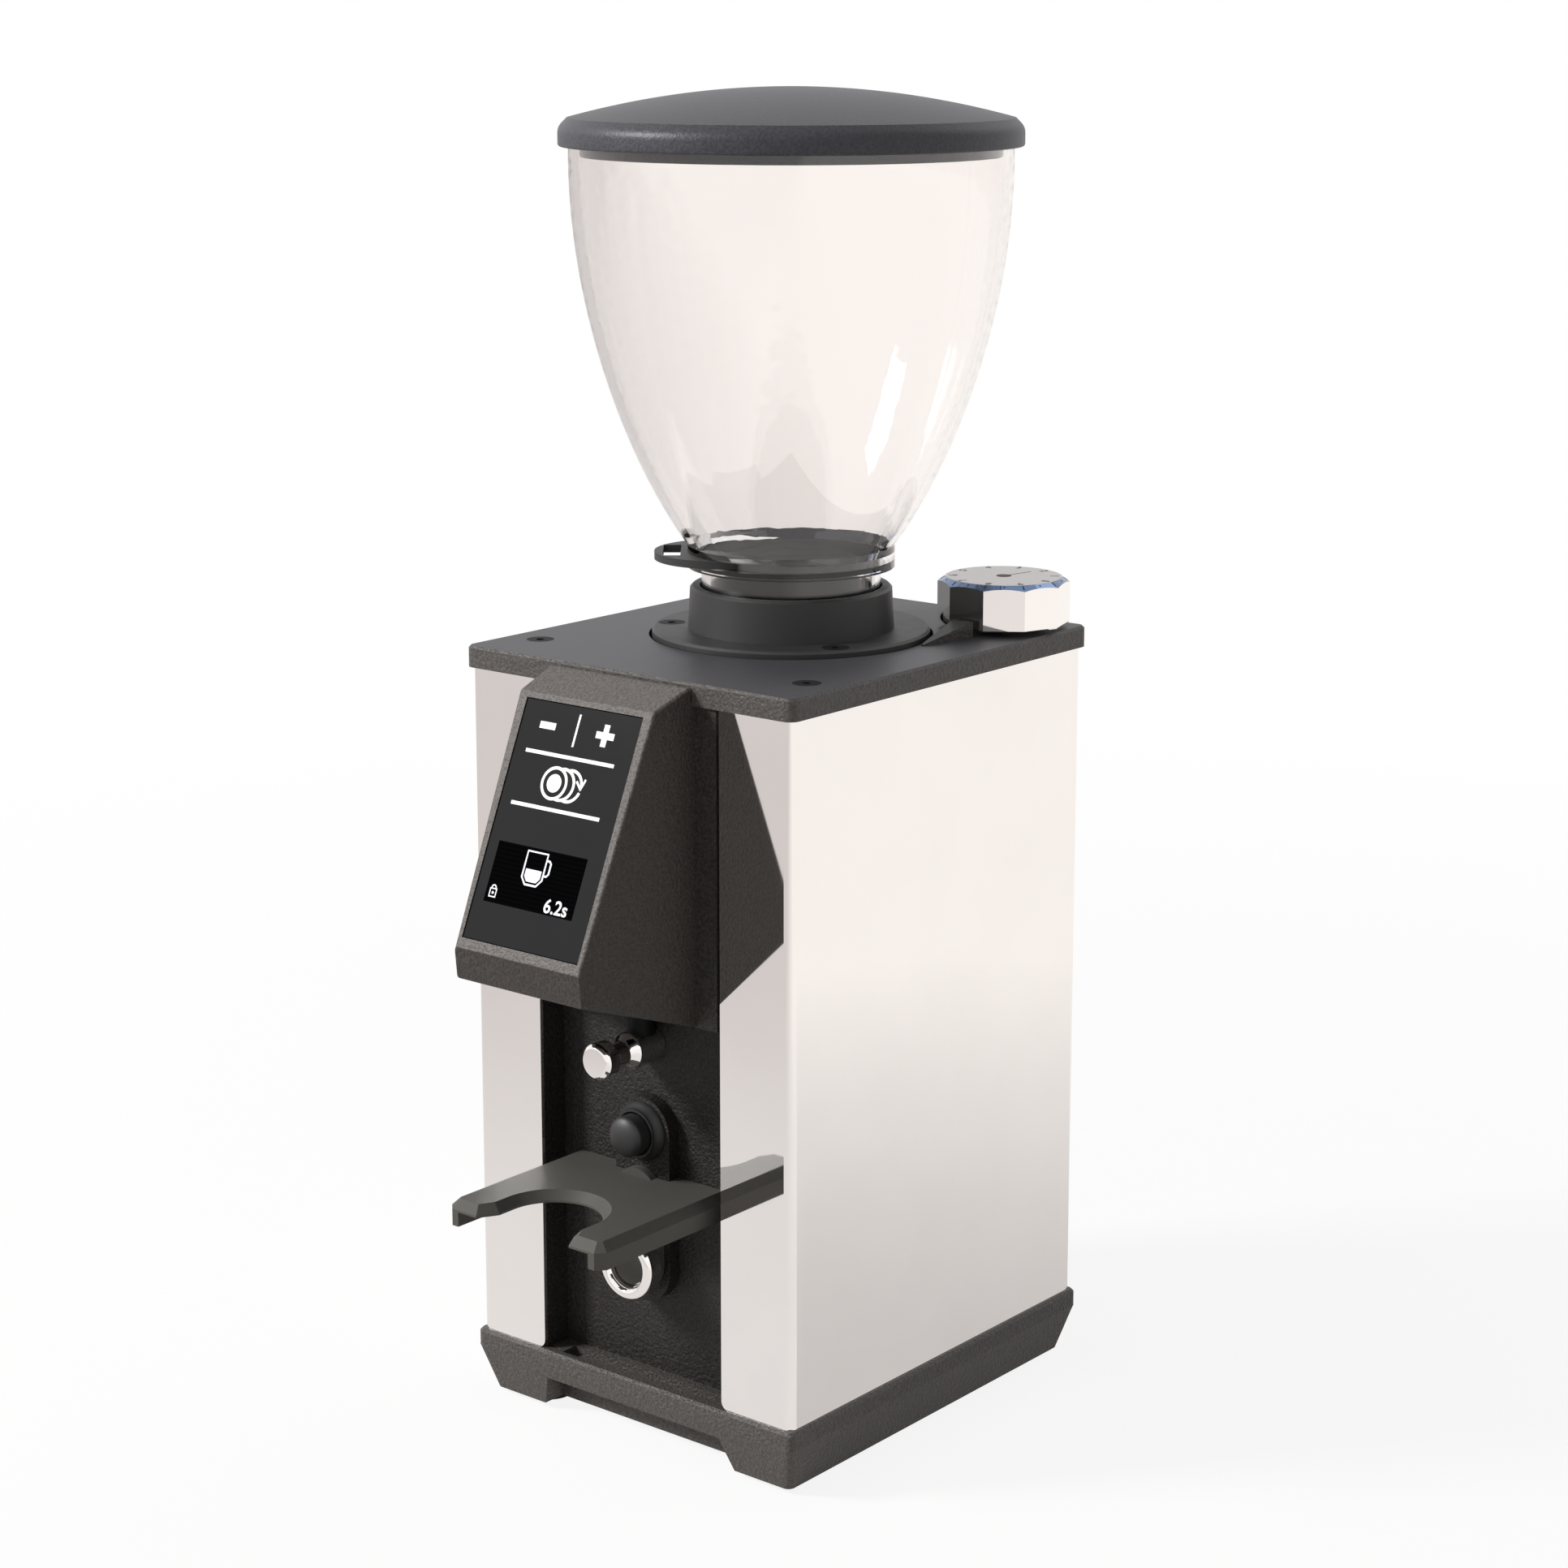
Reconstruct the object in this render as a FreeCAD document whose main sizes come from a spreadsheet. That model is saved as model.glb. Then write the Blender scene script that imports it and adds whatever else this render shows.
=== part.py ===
import FreeCAD, Part
import math
import os
import re
import Sketcher

# Burr coffee grinder: chrome case on a moulded base, clear hopper on top, slanted head with a touch panel
# in front, and a height-adjustable fork below it. Millimetres, +Z up, -Y is the front.
# The origin is on the floor, midway between the case's sides and between its front and back.

doc = FreeCAD.newDocument("coffee_grinder")
V = FreeCAD.Vector

DIMS = [
    # Case
    ("case_width", "115"), ("case_depth", "132.2"), ("case_height", "195.5"),
    ("case_sheet", "1.2"), ("case_bend", "2.5"), ("case_opening", "66"), ("flange_round", "2.5"),
    # Base
    ("foot_proud", "1.8"), ("foot_radius", "7.5"), ("foot_seat", "2"),
    ("foot_x", "44"), ("foot_y", "53"),
    ("base_height", "18.2"), ("base_band", "5"), ("base_taper", "3.8"), ("overhang", "1.3"),
    ("base_wall", "3.5"), ("base_deck", "5"), ("base_corner", "2.2"), ("base_bevel", "0.8"),
    ("notch_height", "9.6"), ("notch_depth", "11"), ("notch_half", "32"), ("notch_splay", "3.5"),
    ("tray_half", "27.5"), ("tray_width", "5.6"), ("tray_depth", "2.4"), ("tray_edge", "2.6"),
    # Front plate and the pieces on it
    ("recess", "9.6"), ("front_sheet", "2"), ("recess_wall", "1.8"),
    ("rail_half", "9.8"), ("rail_thick", "4.1"), ("button_height", "71"), ("lock_height", "33.4"),
    ("rail_low", "31.4"),
    ("button_radius", "5.75"), ("button_reach", "6.6"), ("button_skirt", "3.6"), ("button_dome", "2.6"),
    ("button_travel", "2.5"), ("bezel_radius", "8.5"), ("bezel_nose", "6.9"), ("bezel_thick", "3.4"),
    ("stem_radius", "2.4"), ("stem_reach", "9.5"), ("switch_width", "20"), ("switch_tall", "11"),
    ("switch_deep", "14"), ("switch_room", "0.9"), ("spring_wall", "1.2"), ("spring_room", "0.4"),
    ("pin_height", "95.4"), ("pin_reach", "23.4"), ("pin_radius", "5.3"), ("pin_body", "11"),
    ("pin_neck", "3.15"), ("pin_head", "5.2"), ("pin_bevel", "1.1"), ("pin_head_long", "5.2"),
    ("post_radius", "3.85"), ("post_gap", "0.2"),
    # Fork
    ("fork_height", "58.6"), ("fork_half", "28.4"), ("fork_reach", "52.5"), ("fork_thick", "3"),
    ("fork_rail", "4.6"), ("fork_deep", "7.1"), ("fork_bevel", "2.4"), ("slot_half", "13.7"),
    ("slot_bottom", "27.1"), ("tip_inner", "17"), ("tip_slope", "5.6"),
    ("tongue_half", "8"), ("tongue_thick", "2.6"), ("tongue_rise", "2.3"),
    ("fork_up", "1"), ("fork_down", "5"), ("lock_radius", "9.6"), ("lock_long", "5.4"),
    ("lock_dish", "3.4"),
    ("lock_rim", "3.6"), ("stud_radius", "2.5"), ("nut_half", "7"), ("nut_thick", "4"),
    # Top plate, collar and dial
    ("top_thick", "6.1"), ("top_corner", "3"), ("top_bevel", "0.7"), ("axis_y", "4.4"),
    ("flange_radius", "39.4"), ("flange_thick", "6.5"), ("flange_proud", "1.9"), ("flange_gap", "0.9"),
    ("collar_foot", "29.2"), ("collar_head", "28.6"), ("collar_rise", "12"), ("collar_bore", "25.8"),
    ("collar_screw_ring", "34.4"), ("seal_thick", "3"),
    ("top_screw_in", "9.5"), ("top_screw_front", "18.1"), ("screw_radius", "2"), ("screw_head", "3.9"),
    ("screw_head_tall", "2.1"), ("screw_long", "12"), ("socket_radius", "1.2"), ("socket_deep", "1.3"),
    ("post_width", "4.5"),
    ("spindle_x", "41"), ("spindle_radius", "4"), ("bush_radius", "7"), ("bush_lip", "0.5"),
    ("knob_corner", "18.9"), ("knob_tall", "13.2"), ("knob_gap", "1.4"), ("knob_disc", "16.5"),
    ("knob_slope", "0.62"),
    ("knob_sides", "10"), ("knob_roof", "3"), ("knob_wall", "2.2"), ("knob_hub", "7.5"),
    ("wedge_long", "19"), ("wedge_tall", "4.4"), ("wedge_wide", "7"), ("wedge_tip", "0.4"),
    ("wedge_start", "11.8"),
    # Hopper, gate and lid
    ("neck_radius", "25.35"), ("neck_deep", "9"), ("neck_show", "5.6"), ("hopper_wall", "2.5"),
    ("shoulder_radius", "29.3"), ("shoulder_tall", "6.2"), ("hopper_tall", "119.5"),
    ("gate_thick", "2.2"), ("gate_lift", "2"), ("gate_room", "0.2"), ("gate_reach", "38.6"),
    ("gate_tab", "20"),
    ("gate_disc", "25"), ("gate_hole", "9"), ("gate_hole_wide", "5"), ("gate_angle", "40"),
    ("lid_radius", "64.3"), ("lid_drop", "2.4"), ("lid_rim", "2.8"), ("lid_dome", "13.6"),
    ("lid_wall", "2.4"),
    ("lid_room", "0.6"), ("lid_skirt", "2.3"), ("lid_plug", "5"), ("lid_shoulder", "2.5"),
    ("lid_edge", "0.9"),
    # Head
    ("head_low", "107"), ("head_high", "200.3"), ("head_half", "25"), ("head_front_half", "22.3"),
    ("face_tilt", "23.5"), ("face_long", "71.1"), ("face_top_y", "81.3"), ("face_top_drop", "4.4"),
    ("brow_y", "69"), ("chin_tall", "8.8"), ("head_wall", "2.6"), ("head_round", "0.8"),
    ("panel_half", "20.6"), ("panel_long", "65.9"), ("panel_thick", "1.6"), ("panel_sink", "0.3"),
    ("panel_gap", "0.25"), ("panel_up", "0.6"), ("board_thick", "1.6"), ("head_flange", "32"),
    ("head_flange_thick", "3.6"),
    # Chute
    ("chute_half", "13"), ("chute_wall", "1.6"), ("chute_tall", "15"), ("chute_start", "154"),
    ("chute_end", "88"), ("chute_out", "116"),
    # Grinding set and its adjustment
    ("chamber_radius", "45"), ("chamber_bore", "36"), ("chamber_floor", "152"),
    ("hub_radius", "30"), ("hub_low", "118"), ("hub_step", "3"), ("ring_low", "130"), ("ring_tall", "10"),
    ("gear_module", "1"), ("ring_teeth", "98"), ("pinion_teeth", "25"), ("pinion_over", "1"),
    ("lug_radius", "7"), ("lug_tall", "6"), ("run_gap", "0.05"), ("side_gap", "0.3"),
    ("burr_radius", "31"), ("burr_eye", "17"), ("burr_tall", "8"), ("burr_space", "0.4"),
    ("burr_teeth", "16"), ("burr_groove", "2.4"), ("burr_cut", "1.6"),
    ("carrier_radius", "33"), ("carrier_tall", "9"), ("sweeper_wide", "4"),
    ("shaft_radius", "6"), ("cone_radius", "12"), ("cone_tall", "16"),
    # Motor
    ("can_wall", "2"), ("mount_tall", "8"), ("mount_radius", "6"), ("mount_place", "26"),
    ("bracket_tall", "9"), ("stator_bore", "24.5"), ("stator_tall", "46"), ("rotor_radius", "24"),
    ("coil_tall", "14"), ("coil_inner", "26"), ("coil_room", "3"), ("bearing_radius", "13"),
    ("bearing_tall", "8"), ("bolt_ring", "20"), ("bolt_radius", "2"), ("bolt_head", "3.6"),
    ("bolt_head_tall", "3"),
    # Control board, capacitor and rear panel
    ("ctrl_wide", "70"), ("ctrl_tall", "32"), ("ctrl_low", "80"), ("pillar_radius", "3"),
    ("pillar_long", "6"),
    ("cap_radius", "8.5"), ("cap_tall", "40"), ("cap_x", "42"), ("cap_front", "22.5"),
    ("rear_wide", "66"), ("rear_tall", "44"), ("rear_low", "14"), ("rear_thick", "2"), ("rear_lap", "4"),
    ("inlet_wide", "27"), ("inlet_tall", "20"), ("inlet_deep", "15"), ("inlet_x", "15"),
    ("inlet_pin", "1"),
    ("rocker_wide", "13"), ("rocker_tall", "19"), ("rocker_x", "18"), ("rocker_bulge", "2.4"),
    ("rocker_room", "0.4"), ("rocker_deep", "6"),
]

PLACES = [
    # Heights
    ("case_z", "=dims.foot_proud + dims.base_height"),
    ("top_z", "=case_z + dims.case_height"),
    ("cap_z", "=top_z + dims.top_thick"),
    ("flange_z", "=cap_z + dims.flange_proud"),
    ("seat_z", "=flange_z - dims.flange_thick"),
    ("collar_z", "=flange_z + dims.collar_rise"),
    ("shoulder_z", "=collar_z + dims.neck_show"),
    ("bowl_z", "=shoulder_z + dims.shoulder_tall"),
    ("mouth_z", "=shoulder_z + dims.hopper_tall"),
    ("gate_z", "=shoulder_z + dims.gate_lift"),
    ("hopper_mouth", "=dims.lid_radius - dims.lid_skirt - dims.lid_room"),
    ("knob_z", "=cap_z + dims.knob_gap"),
    # Half widths and fronts
    ("case_half", "=dims.case_width / 2"),
    ("case_back", "=dims.case_depth / 2"),
    ("plate_half", "=case_half + dims.overhang"),
    ("plate_back", "=case_back + dims.overhang"),
    ("opening_half", "=dims.case_opening / 2"),
    ("front_y", "=case_back - dims.recess"),
    ("plate_inner_y", "=front_y - dims.front_sheet"),
    ("rail_y", "=front_y + dims.rail_thick"),
    # Pieces on the front plate
    ("button_z", "=case_z + dims.button_height"),
    ("lock_z", "=case_z + dims.lock_height"), ("rail_low_z", "=case_z + dims.rail_low"),
    ("pin_z", "=case_z + dims.pin_height"),
    ("fork_z", "=case_z + dims.fork_height"),
    ("fork_low_z", "=fork_z - dims.fork_deep"),
    ("tongue_y", "=rail_y + dims.side_gap"),
    ("tongue_front", "=tongue_y + dims.tongue_thick"),
    ("head_low_z", "=case_z + dims.head_low"),
    ("head_high_z", "=case_z + dims.head_high"),
    ("face_top_z", "=head_high_z - dims.face_top_drop"),
    ("face_low_y", "=dims.face_top_y + dims.face_long * sin(dims.face_tilt)"),
    ("face_low_z", "=face_top_z - dims.face_long * cos(dims.face_tilt)"),
    ("post_y", "=front_y + dims.post_radius + dims.post_gap"),
    # Grinding set
    ("gear_gap", "=dims.gear_module * (dims.ring_teeth + dims.pinion_teeth) / 2"),
    ("spindle_y", "=dims.axis_y + sqrt(gear_gap * gear_gap - dims.spindle_x * dims.spindle_x)"),
    ("hub_z", "=case_z + dims.hub_low"),
    ("ring_z", "=case_z + dims.ring_low"),
    ("ring_top_z", "=ring_z + dims.ring_tall"),
    ("chamber_z", "=ring_top_z + dims.side_gap"),
    ("floor_z", "=case_z + dims.chamber_floor"),
    ("carrier_z", "=floor_z + dims.burr_space"),
    ("lower_burr_z", "=carrier_z + dims.carrier_tall"),
    ("upper_burr_z", "=lower_burr_z + dims.burr_tall + dims.burr_space"),
    ("holder_z", "=upper_burr_z + dims.burr_tall"),
    # Motor
    ("can_radius", "=plate_inner_y - dims.switch_deep - dims.switch_room + dims.axis_y"),
    ("coil_outer", "=can_radius - dims.can_wall - dims.coil_room"),
    ("lower_bracket_z", "=case_z + dims.mount_tall"),
    ("can_z", "=lower_bracket_z + dims.bracket_tall"),
    ("upper_bracket_z", "=hub_z - dims.bracket_tall"),
    ("stator_z", "=(can_z + upper_bracket_z - dims.stator_tall) / 2"),
    # Rear panel
    ("rear_z", "=case_z + dims.rear_low"),
    ("rear_mid_z", "=rear_z + dims.rear_tall / 2"),
    ("back_in", "=case_back - dims.case_sheet"),
    ("ctrl_z", "=case_z + dims.ctrl_low"),
]


def make_sheet(name, rows):
    """A sheet with one value or formula per row and its alias beside it."""
    sheet = doc.addObject("Spreadsheet::Sheet", name)
    for row, (alias, text) in enumerate(rows, start=1):
        sheet.set(f"A{row}", alias)
        sheet.set(f"B{row}", text)
        sheet.setAlias(f"B{row}", alias)
    doc.recompute()
    return sheet


dims = make_sheet("dims", DIMS)
places = make_sheet("places", PLACES)
dim_names = {alias for alias, text in DIMS}
place_names = {alias for alias, text in PLACES}
nodes = {}


def full(text):
    """The formula with each alias given its sheet's name."""
    def owner(match):
        word = match.group(0)
        if word in dim_names:
            return "dims." + word
        if word in place_names:
            return "places." + word
        return word
    return re.sub(r"[a-z][a-z_]*", owner, text)


def num(text):
    """The formula's value now."""
    return float(dims.evalExpression(full(text)))


def bind(obj, **formulas):
    for prop, text in formulas.items():
        obj.setExpression(prop, full(text))


def place(obj, at):
    """Ties an object's position to three formulas."""
    for letter, text in zip("xyz", at):
        obj.setExpression("Placement.Base." + letter, full(text))


def node(name, obj):
    """Registers a finished sub-part under its node name."""
    obj.Label = name
    nodes[name] = obj
    return obj


def box(name, size, at):
    obj = doc.addObject("Part::Box", name)
    bind(obj, Length=size[0], Width=size[1], Height=size[2])
    place(obj, at)
    return obj


def block(name, half, back, front, low, high):
    """A box centred on X = 0, between two distances in front of the origin and between two heights."""
    size = (f"2 * ({half})", f"({front}) - ({back})", f"({high}) - ({low})")
    return box(name, size, (f"-({half})", f"-({front})", low))


def cyl(name, radius, height, at, toward="+Z"):
    obj = doc.addObject("Part::Cylinder", name)
    bind(obj, Radius=radius, Height=height)
    turns = {"+Z": 0, "-Y": 90, "+Y": -90}
    obj.Placement = FreeCAD.Placement(V(), FreeCAD.Rotation(V(1, 0, 0), turns[toward]))
    place(obj, at)
    return obj


def cone(name, low_radius, high_radius, height, at, toward="+Z"):
    obj = doc.addObject("Part::Cone", name)
    bind(obj, Radius1=low_radius, Radius2=high_radius, Height=height)
    turns = {"+Z": 0, "-Y": 90}
    obj.Placement = FreeCAD.Placement(V(), FreeCAD.Rotation(V(1, 0, 0), turns[toward]))
    place(obj, at)
    return obj


def fuse(name, *shapes):
    obj = doc.addObject("Part::MultiFuse", name)
    obj.Shapes = list(shapes)
    return obj


def cut(name, base, *tools):
    """The base less every tool."""
    obj = doc.addObject("Part::Cut", name)
    obj.Base = base
    obj.Tool = tools[0] if len(tools) == 1 else fuse(name + "_tools", *tools)
    return obj


def common(name, first, second):
    """What two solids share."""
    obj = doc.addObject("Part::Common", name)
    obj.Base = first
    obj.Tool = second
    return obj


def group(name, solids):
    """Several like solids in one node."""
    obj = doc.addObject("Part::Compound", name)
    obj.Links = solids
    return obj


def new_body(name, at=("0", "0", "0")):
    body = doc.addObject("PartDesign::Body", name)
    place(body, at)
    return body


def plane(body, role):
    return next(item for item in body.Origin.OriginFeatures if item.Role == role)


def sketch(body, role, points, offset=None):
    """A closed outline of straight lines whose corners are tied to formulas."""
    sk = body.newObject("Sketcher::SketchObject", f"{body.Name}_outline")
    sk.AttachmentSupport = [(plane(body, role), "")]
    sk.MapMode = "FlatFace"
    if offset:
        sk.setExpression("AttachmentOffset.Base.z", full(offset))
    corners = [V(num(a), num(b), 0) for a, b in points]
    count = len(corners)
    for i in range(count):
        sk.addGeometry(Part.LineSegment(corners[i], corners[(i + 1) % count]), False)
    for i in range(count):
        sk.addConstraint(Sketcher.Constraint("Coincident", i, 2, (i + 1) % count, 1))
    for i, pair in enumerate(points):
        for kind, axis, text, value in zip(("DistanceX", "DistanceY"), (-2, -1), pair, corners[i]):
            if text == "0":
                sk.addConstraint(Sketcher.Constraint("PointOnObject", i, 1, axis))
                continue
            index = sk.addConstraint(Sketcher.Constraint(kind, -1, 1, i, 1, value))
            sk.setExpression(f"Constraints[{index}]", full(text))
    doc.recompute()
    return sk


def rectangle(half_x, low_y, high_y):
    return [(f"-({half_x})", low_y), (half_x, low_y), (half_x, high_y), (f"-({half_x})", high_y)]


def pad(body, sk, length, both_ways=False):
    feature = body.newObject("PartDesign::Pad", f"{body.Name}_pad")
    feature.Profile = sk
    feature.Midplane = both_ways
    bind(feature, Length=length)
    doc.recompute()
    return feature


def pocket(body, sk, length=None, both_ways=False, flip=False):
    """A cut along the sketch's normal, right through if it has no length; it has to remove material."""
    before = body.Shape.Volume
    feature = body.newObject("PartDesign::Pocket", f"{body.Name}_pocket")
    feature.Profile = sk
    feature.Midplane = both_ways
    feature.Reversed = flip
    if length:
        bind(feature, Length=length)
    else:
        feature.Type = "ThroughAll"
    doc.recompute()
    if body.Shape.Volume >= before:
        raise RuntimeError(f"{feature.Name} removes nothing")
    return feature


def turned(name, points, at=("0", "axis_y", "0")):
    """A body of revolution about its own Z axis from (radius, height) corners."""
    body = new_body(name, at)
    sk = sketch(body, "XZ_Plane", points)
    feature = body.newObject("PartDesign::Revolution", f"{name}_turn")
    feature.Profile = sk
    feature.ReferenceAxis = (sk, ["V_Axis"])
    feature.Angle = 360
    doc.recompute()
    return body


def dress(body, kind, size, test):
    """A Fillet or Chamfer on the edges of the body's last feature that pass the test."""
    tip = body.Tip
    names = [f"Edge{i}" for i, edge in enumerate(tip.Shape.Edges, start=1) if test(edge)]
    if not names:
        raise RuntimeError(f"no edges to dress on {body.Name}")
    feature = body.newObject("PartDesign::" + kind, f"{body.Name}_{kind.lower()}")
    feature.Base = (tip, names)
    bind(feature, **{"Radius" if kind == "Fillet" else "Size": size})
    doc.recompute()
    return feature


def near(a, b):
    return abs(a - b) < 0.01


def upright(edge):
    span = edge.BoundBox
    return span.ZLength > 1 and span.XLength < 0.01 and span.YLength < 0.01


def circle_places(count, radius, start=90):
    """Formulas for places evenly spread on a circle about the hopper axis."""
    step = 360 / count
    angles = [start + step * i for i in range(count)]
    return [(f"({radius}) * cos({a})", f"axis_y + ({radius}) * sin({a})") for a in angles]


def screw(name, at, head_top):
    """A countersunk hex-socket screw pointing down from its head's top."""
    x, y = at
    shank_low = f"{head_top} - screw_long"
    shank = cyl(name + "_shank", "screw_radius", "screw_long", (x, y, shank_low))
    head_low = f"{head_top} - screw_head_tall"
    head = cone(name + "_head", "screw_radius", "screw_head", "screw_head_tall", (x, y, head_low))
    socket = cyl(name + "_socket", "socket_radius", "socket_deep", (x, y, f"{head_top} - socket_deep"))
    return cut(name, fuse(name + "_blank", shank, head), socket)


def screw_hole(name, at, head_top, depth="screw_long"):
    """The clearance that a countersunk screw needs, down to a depth."""
    x, y = at
    shank = cyl(name + "_bore", "screw_radius", depth, (x, y, f"{head_top} - {depth}"))
    head_low = f"{head_top} - screw_head_tall"
    sink = cone(name + "_sink", "screw_radius", "screw_head", "screw_head_tall", (x, y, head_low))
    return fuse(name, shank, sink)


POSTS = [("case_half - top_screw_in", "-(case_back - top_screw_front)"),
         ("-(case_half - top_screw_in)", "-(case_back - top_screw_front)"),
         ("-(case_half - top_screw_in)", "case_back - top_screw_front")]
COLLAR_SCREWS = circle_places(3, "collar_screw_ring")
FEET = [("foot_x", "foot_y"), ("-foot_x", "foot_y"), ("-foot_x", "-foot_y"), ("foot_x", "-foot_y")]


def make_base():
    """Moulded base: straight band over a tapered skirt, hollow below, notched between its front feet."""
    body = new_body("base_body")
    upper = sketch(body, "XY_Plane", rectangle("plate_half", "-plate_back", "plate_back"),
                   "case_z - base_band")
    pad(body, upper, "base_band")
    low_half = "plate_half - base_taper"
    low_back = "plate_back - base_taper"
    top = sketch(body, "XY_Plane", rectangle("plate_half", "-plate_back", "plate_back"),
                 "case_z - base_band")
    low = sketch(body, "XY_Plane", rectangle(low_half, f"-({low_back})", low_back), "foot_proud")
    skirt = body.newObject("PartDesign::AdditiveLoft", "base_skirt")
    skirt.Profile = top
    skirt.Sections = [low]
    doc.recompute()
    corner = lambda e: e.BoundBox.ZLength > 1 and e.BoundBox.XLength < 5 and e.BoundBox.YLength < 5
    dress(body, "Fillet", "base_corner", corner)
    rim = num("case_z")
    dress(body, "Chamfer", "base_bevel",
          lambda e: near(e.BoundBox.ZMin, rim) and near(e.BoundBox.ZMax, rim))
    room = rectangle(f"{low_half} - base_wall", "-(plate_back - notch_depth - base_wall)",
                     f"{low_back} - base_wall")
    pocket(body, sketch(body, "XY_Plane", room, "foot_proud"), "base_height - base_deck", flip=True)
    notch = [("-(notch_half + notch_splay)", "0"), ("notch_half + notch_splay", "0"),
             ("notch_half + notch_splay", "foot_proud"), ("notch_half", "foot_proud + notch_height"),
             ("-notch_half", "foot_proud + notch_height"), ("-(notch_half + notch_splay)", "foot_proud")]
    pocket(body, sketch(body, "XZ_Plane", notch, "plate_back - notch_depth"), flip=True)
    tray = rectangle("tray_half", "-(plate_back - tray_edge)", "-(plate_back - tray_edge - tray_width)")
    pocket(body, sketch(body, "XY_Plane", tray, "case_z"), "tray_depth")
    bosses = [cyl(f"foot_boss_{i}", "foot_radius + base_wall", "base_height - base_deck",
                  (x, y, "foot_proud"))
              for i, (x, y) in enumerate(FEET[:2])]
    whole = fuse("base_whole", body, *bosses)
    seats = [cyl(f"foot_seat_{i}", "foot_radius", "foot_seat", (x, y, "foot_proud")) for i,
             (x, y) in enumerate(FEET)]
    holes = [cyl(f"base_hole_{i}", "screw_radius", "base_deck + base_height", (x, y, "foot_proud"))
             for i, (x, y) in enumerate(POSTS)]
    wells = [cyl(f"base_well_{i}", "screw_head", "base_height - base_deck", (x, y, "foot_proud"))
             for i, (x, y) in enumerate(POSTS)]
    node("base", cut("base", whole, *seats, *holes, *wells))


def make_base_feet():
    """Four rubber pads let into the base."""
    pads = [cyl(f"foot_pad_{i}", "foot_radius", "foot_proud + foot_seat", (x, y, "0")) for i,
            (x, y) in enumerate(FEET)]
    node("base_feet", group("base_feet", pads))


def make_corner_posts():
    """Round posts between the base and the top plate, drilled at both ends for their screws."""
    posts = []
    for i, (x, y) in enumerate(POSTS):
        bar = cyl(f"post_bar_{i}", "post_width", "case_height", (x, y, "case_z"))
        low = cyl(f"post_low_{i}", "screw_radius", "screw_long", (x, y, "case_z"))
        high = cyl(f"post_high_{i}", "screw_radius", "screw_long", (x, y, "top_z - screw_long"))
        posts.append(cut(f"post_{i}", bar, low, high))
    node("corner_posts", group("corner_posts", posts))


def make_base_screws():
    """Screws from below that hold the base to the corner posts."""
    screws = []
    for i, (x, y) in enumerate(POSTS):
        head_z = "case_z - base_deck - screw_head_tall"
        head = cyl(f"base_screw_head_{i}", "screw_head - side_gap", "screw_head_tall", (x, y, head_z))
        shank = cyl(f"base_screw_shank_{i}", "screw_radius", "base_deck + screw_long - side_gap",
                    (x, y, "case_z - base_deck"))
        screws.append(fuse(f"base_screw_{i}", head, shank))
    node("base_screws", group("base_screws", screws))


def make_case():
    """Chrome sheet wrapped round both sides and the back, with flanges turned in at the front."""
    body = new_body("case_body")
    inner = "case_half - case_sheet"
    outline = [("opening_half", "-case_back"), ("case_half", "-case_back"), ("case_half", "case_back"),
               ("-case_half", "case_back"), ("-case_half", "-case_back"), ("-opening_half", "-case_back"),
               ("-opening_half", "-back_in"), (f"-({inner})", "-back_in"), (f"-({inner})", "back_in"),
               (inner, "back_in"), (inner, "-back_in"), ("opening_half", "-back_in")]
    pad(body, sketch(body, "XY_Plane", outline, "case_z"), "case_height")
    half = num("case_half")
    edge_x = num(inner)
    outer = lambda e: upright(e) and near(abs(e.BoundBox.XMin), half)
    inside = lambda e: upright(e) and near(abs(e.BoundBox.XMin), edge_x)
    dress(body, "Fillet", "case_bend", outer)
    dress(body, "Fillet", "case_bend - case_sheet", inside)
    low = num("case_z")
    opening = num("opening_half")
    toe = lambda e: e.BoundBox.ZLength < 0.01 and near(e.BoundBox.ZMin, low) \
        and near(abs(e.BoundBox.XMin), opening) and near(e.BoundBox.XLength, 0)
    dress(body, "Fillet", "flange_round", toe)
    window = rear_block("case_window", "rear_wide / 2 - rear_lap", "rear_tall / 2 - rear_lap",
                        "back_in - case_sheet", "case_back + case_sheet")
    node("case_wrap", cut("case_wrap", body, window, *rear_holes("case")))


def rear_block(name, half, half_tall, near_y, far_y):
    """A box through the back, centred on the rear panel."""
    size = (f"2 * ({half})", f"({far_y}) - ({near_y})", f"2 * ({half_tall})")
    return box(name, size, (f"-({half})", near_y, f"rear_mid_z - ({half_tall})"))


REAR_SCREWS = [(side, level) for side in ("-1", "1") for level in ("-1", "1")]


def rear_holes(owner):
    """Bores for the rear panel's four screws."""
    holes = []
    for i, (side, level) in enumerate(REAR_SCREWS):
        at = (f"{side} * (rear_wide - rear_lap) / 2", "back_in - case_sheet",
              f"rear_mid_z + {level} * (rear_tall - rear_lap) / 2")
        holes.append(cyl(f"{owner}_rear_hole_{i}", "screw_radius / 2", "4 * case_sheet + rear_thick", at,
                         "+Y"))
    return holes


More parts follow.
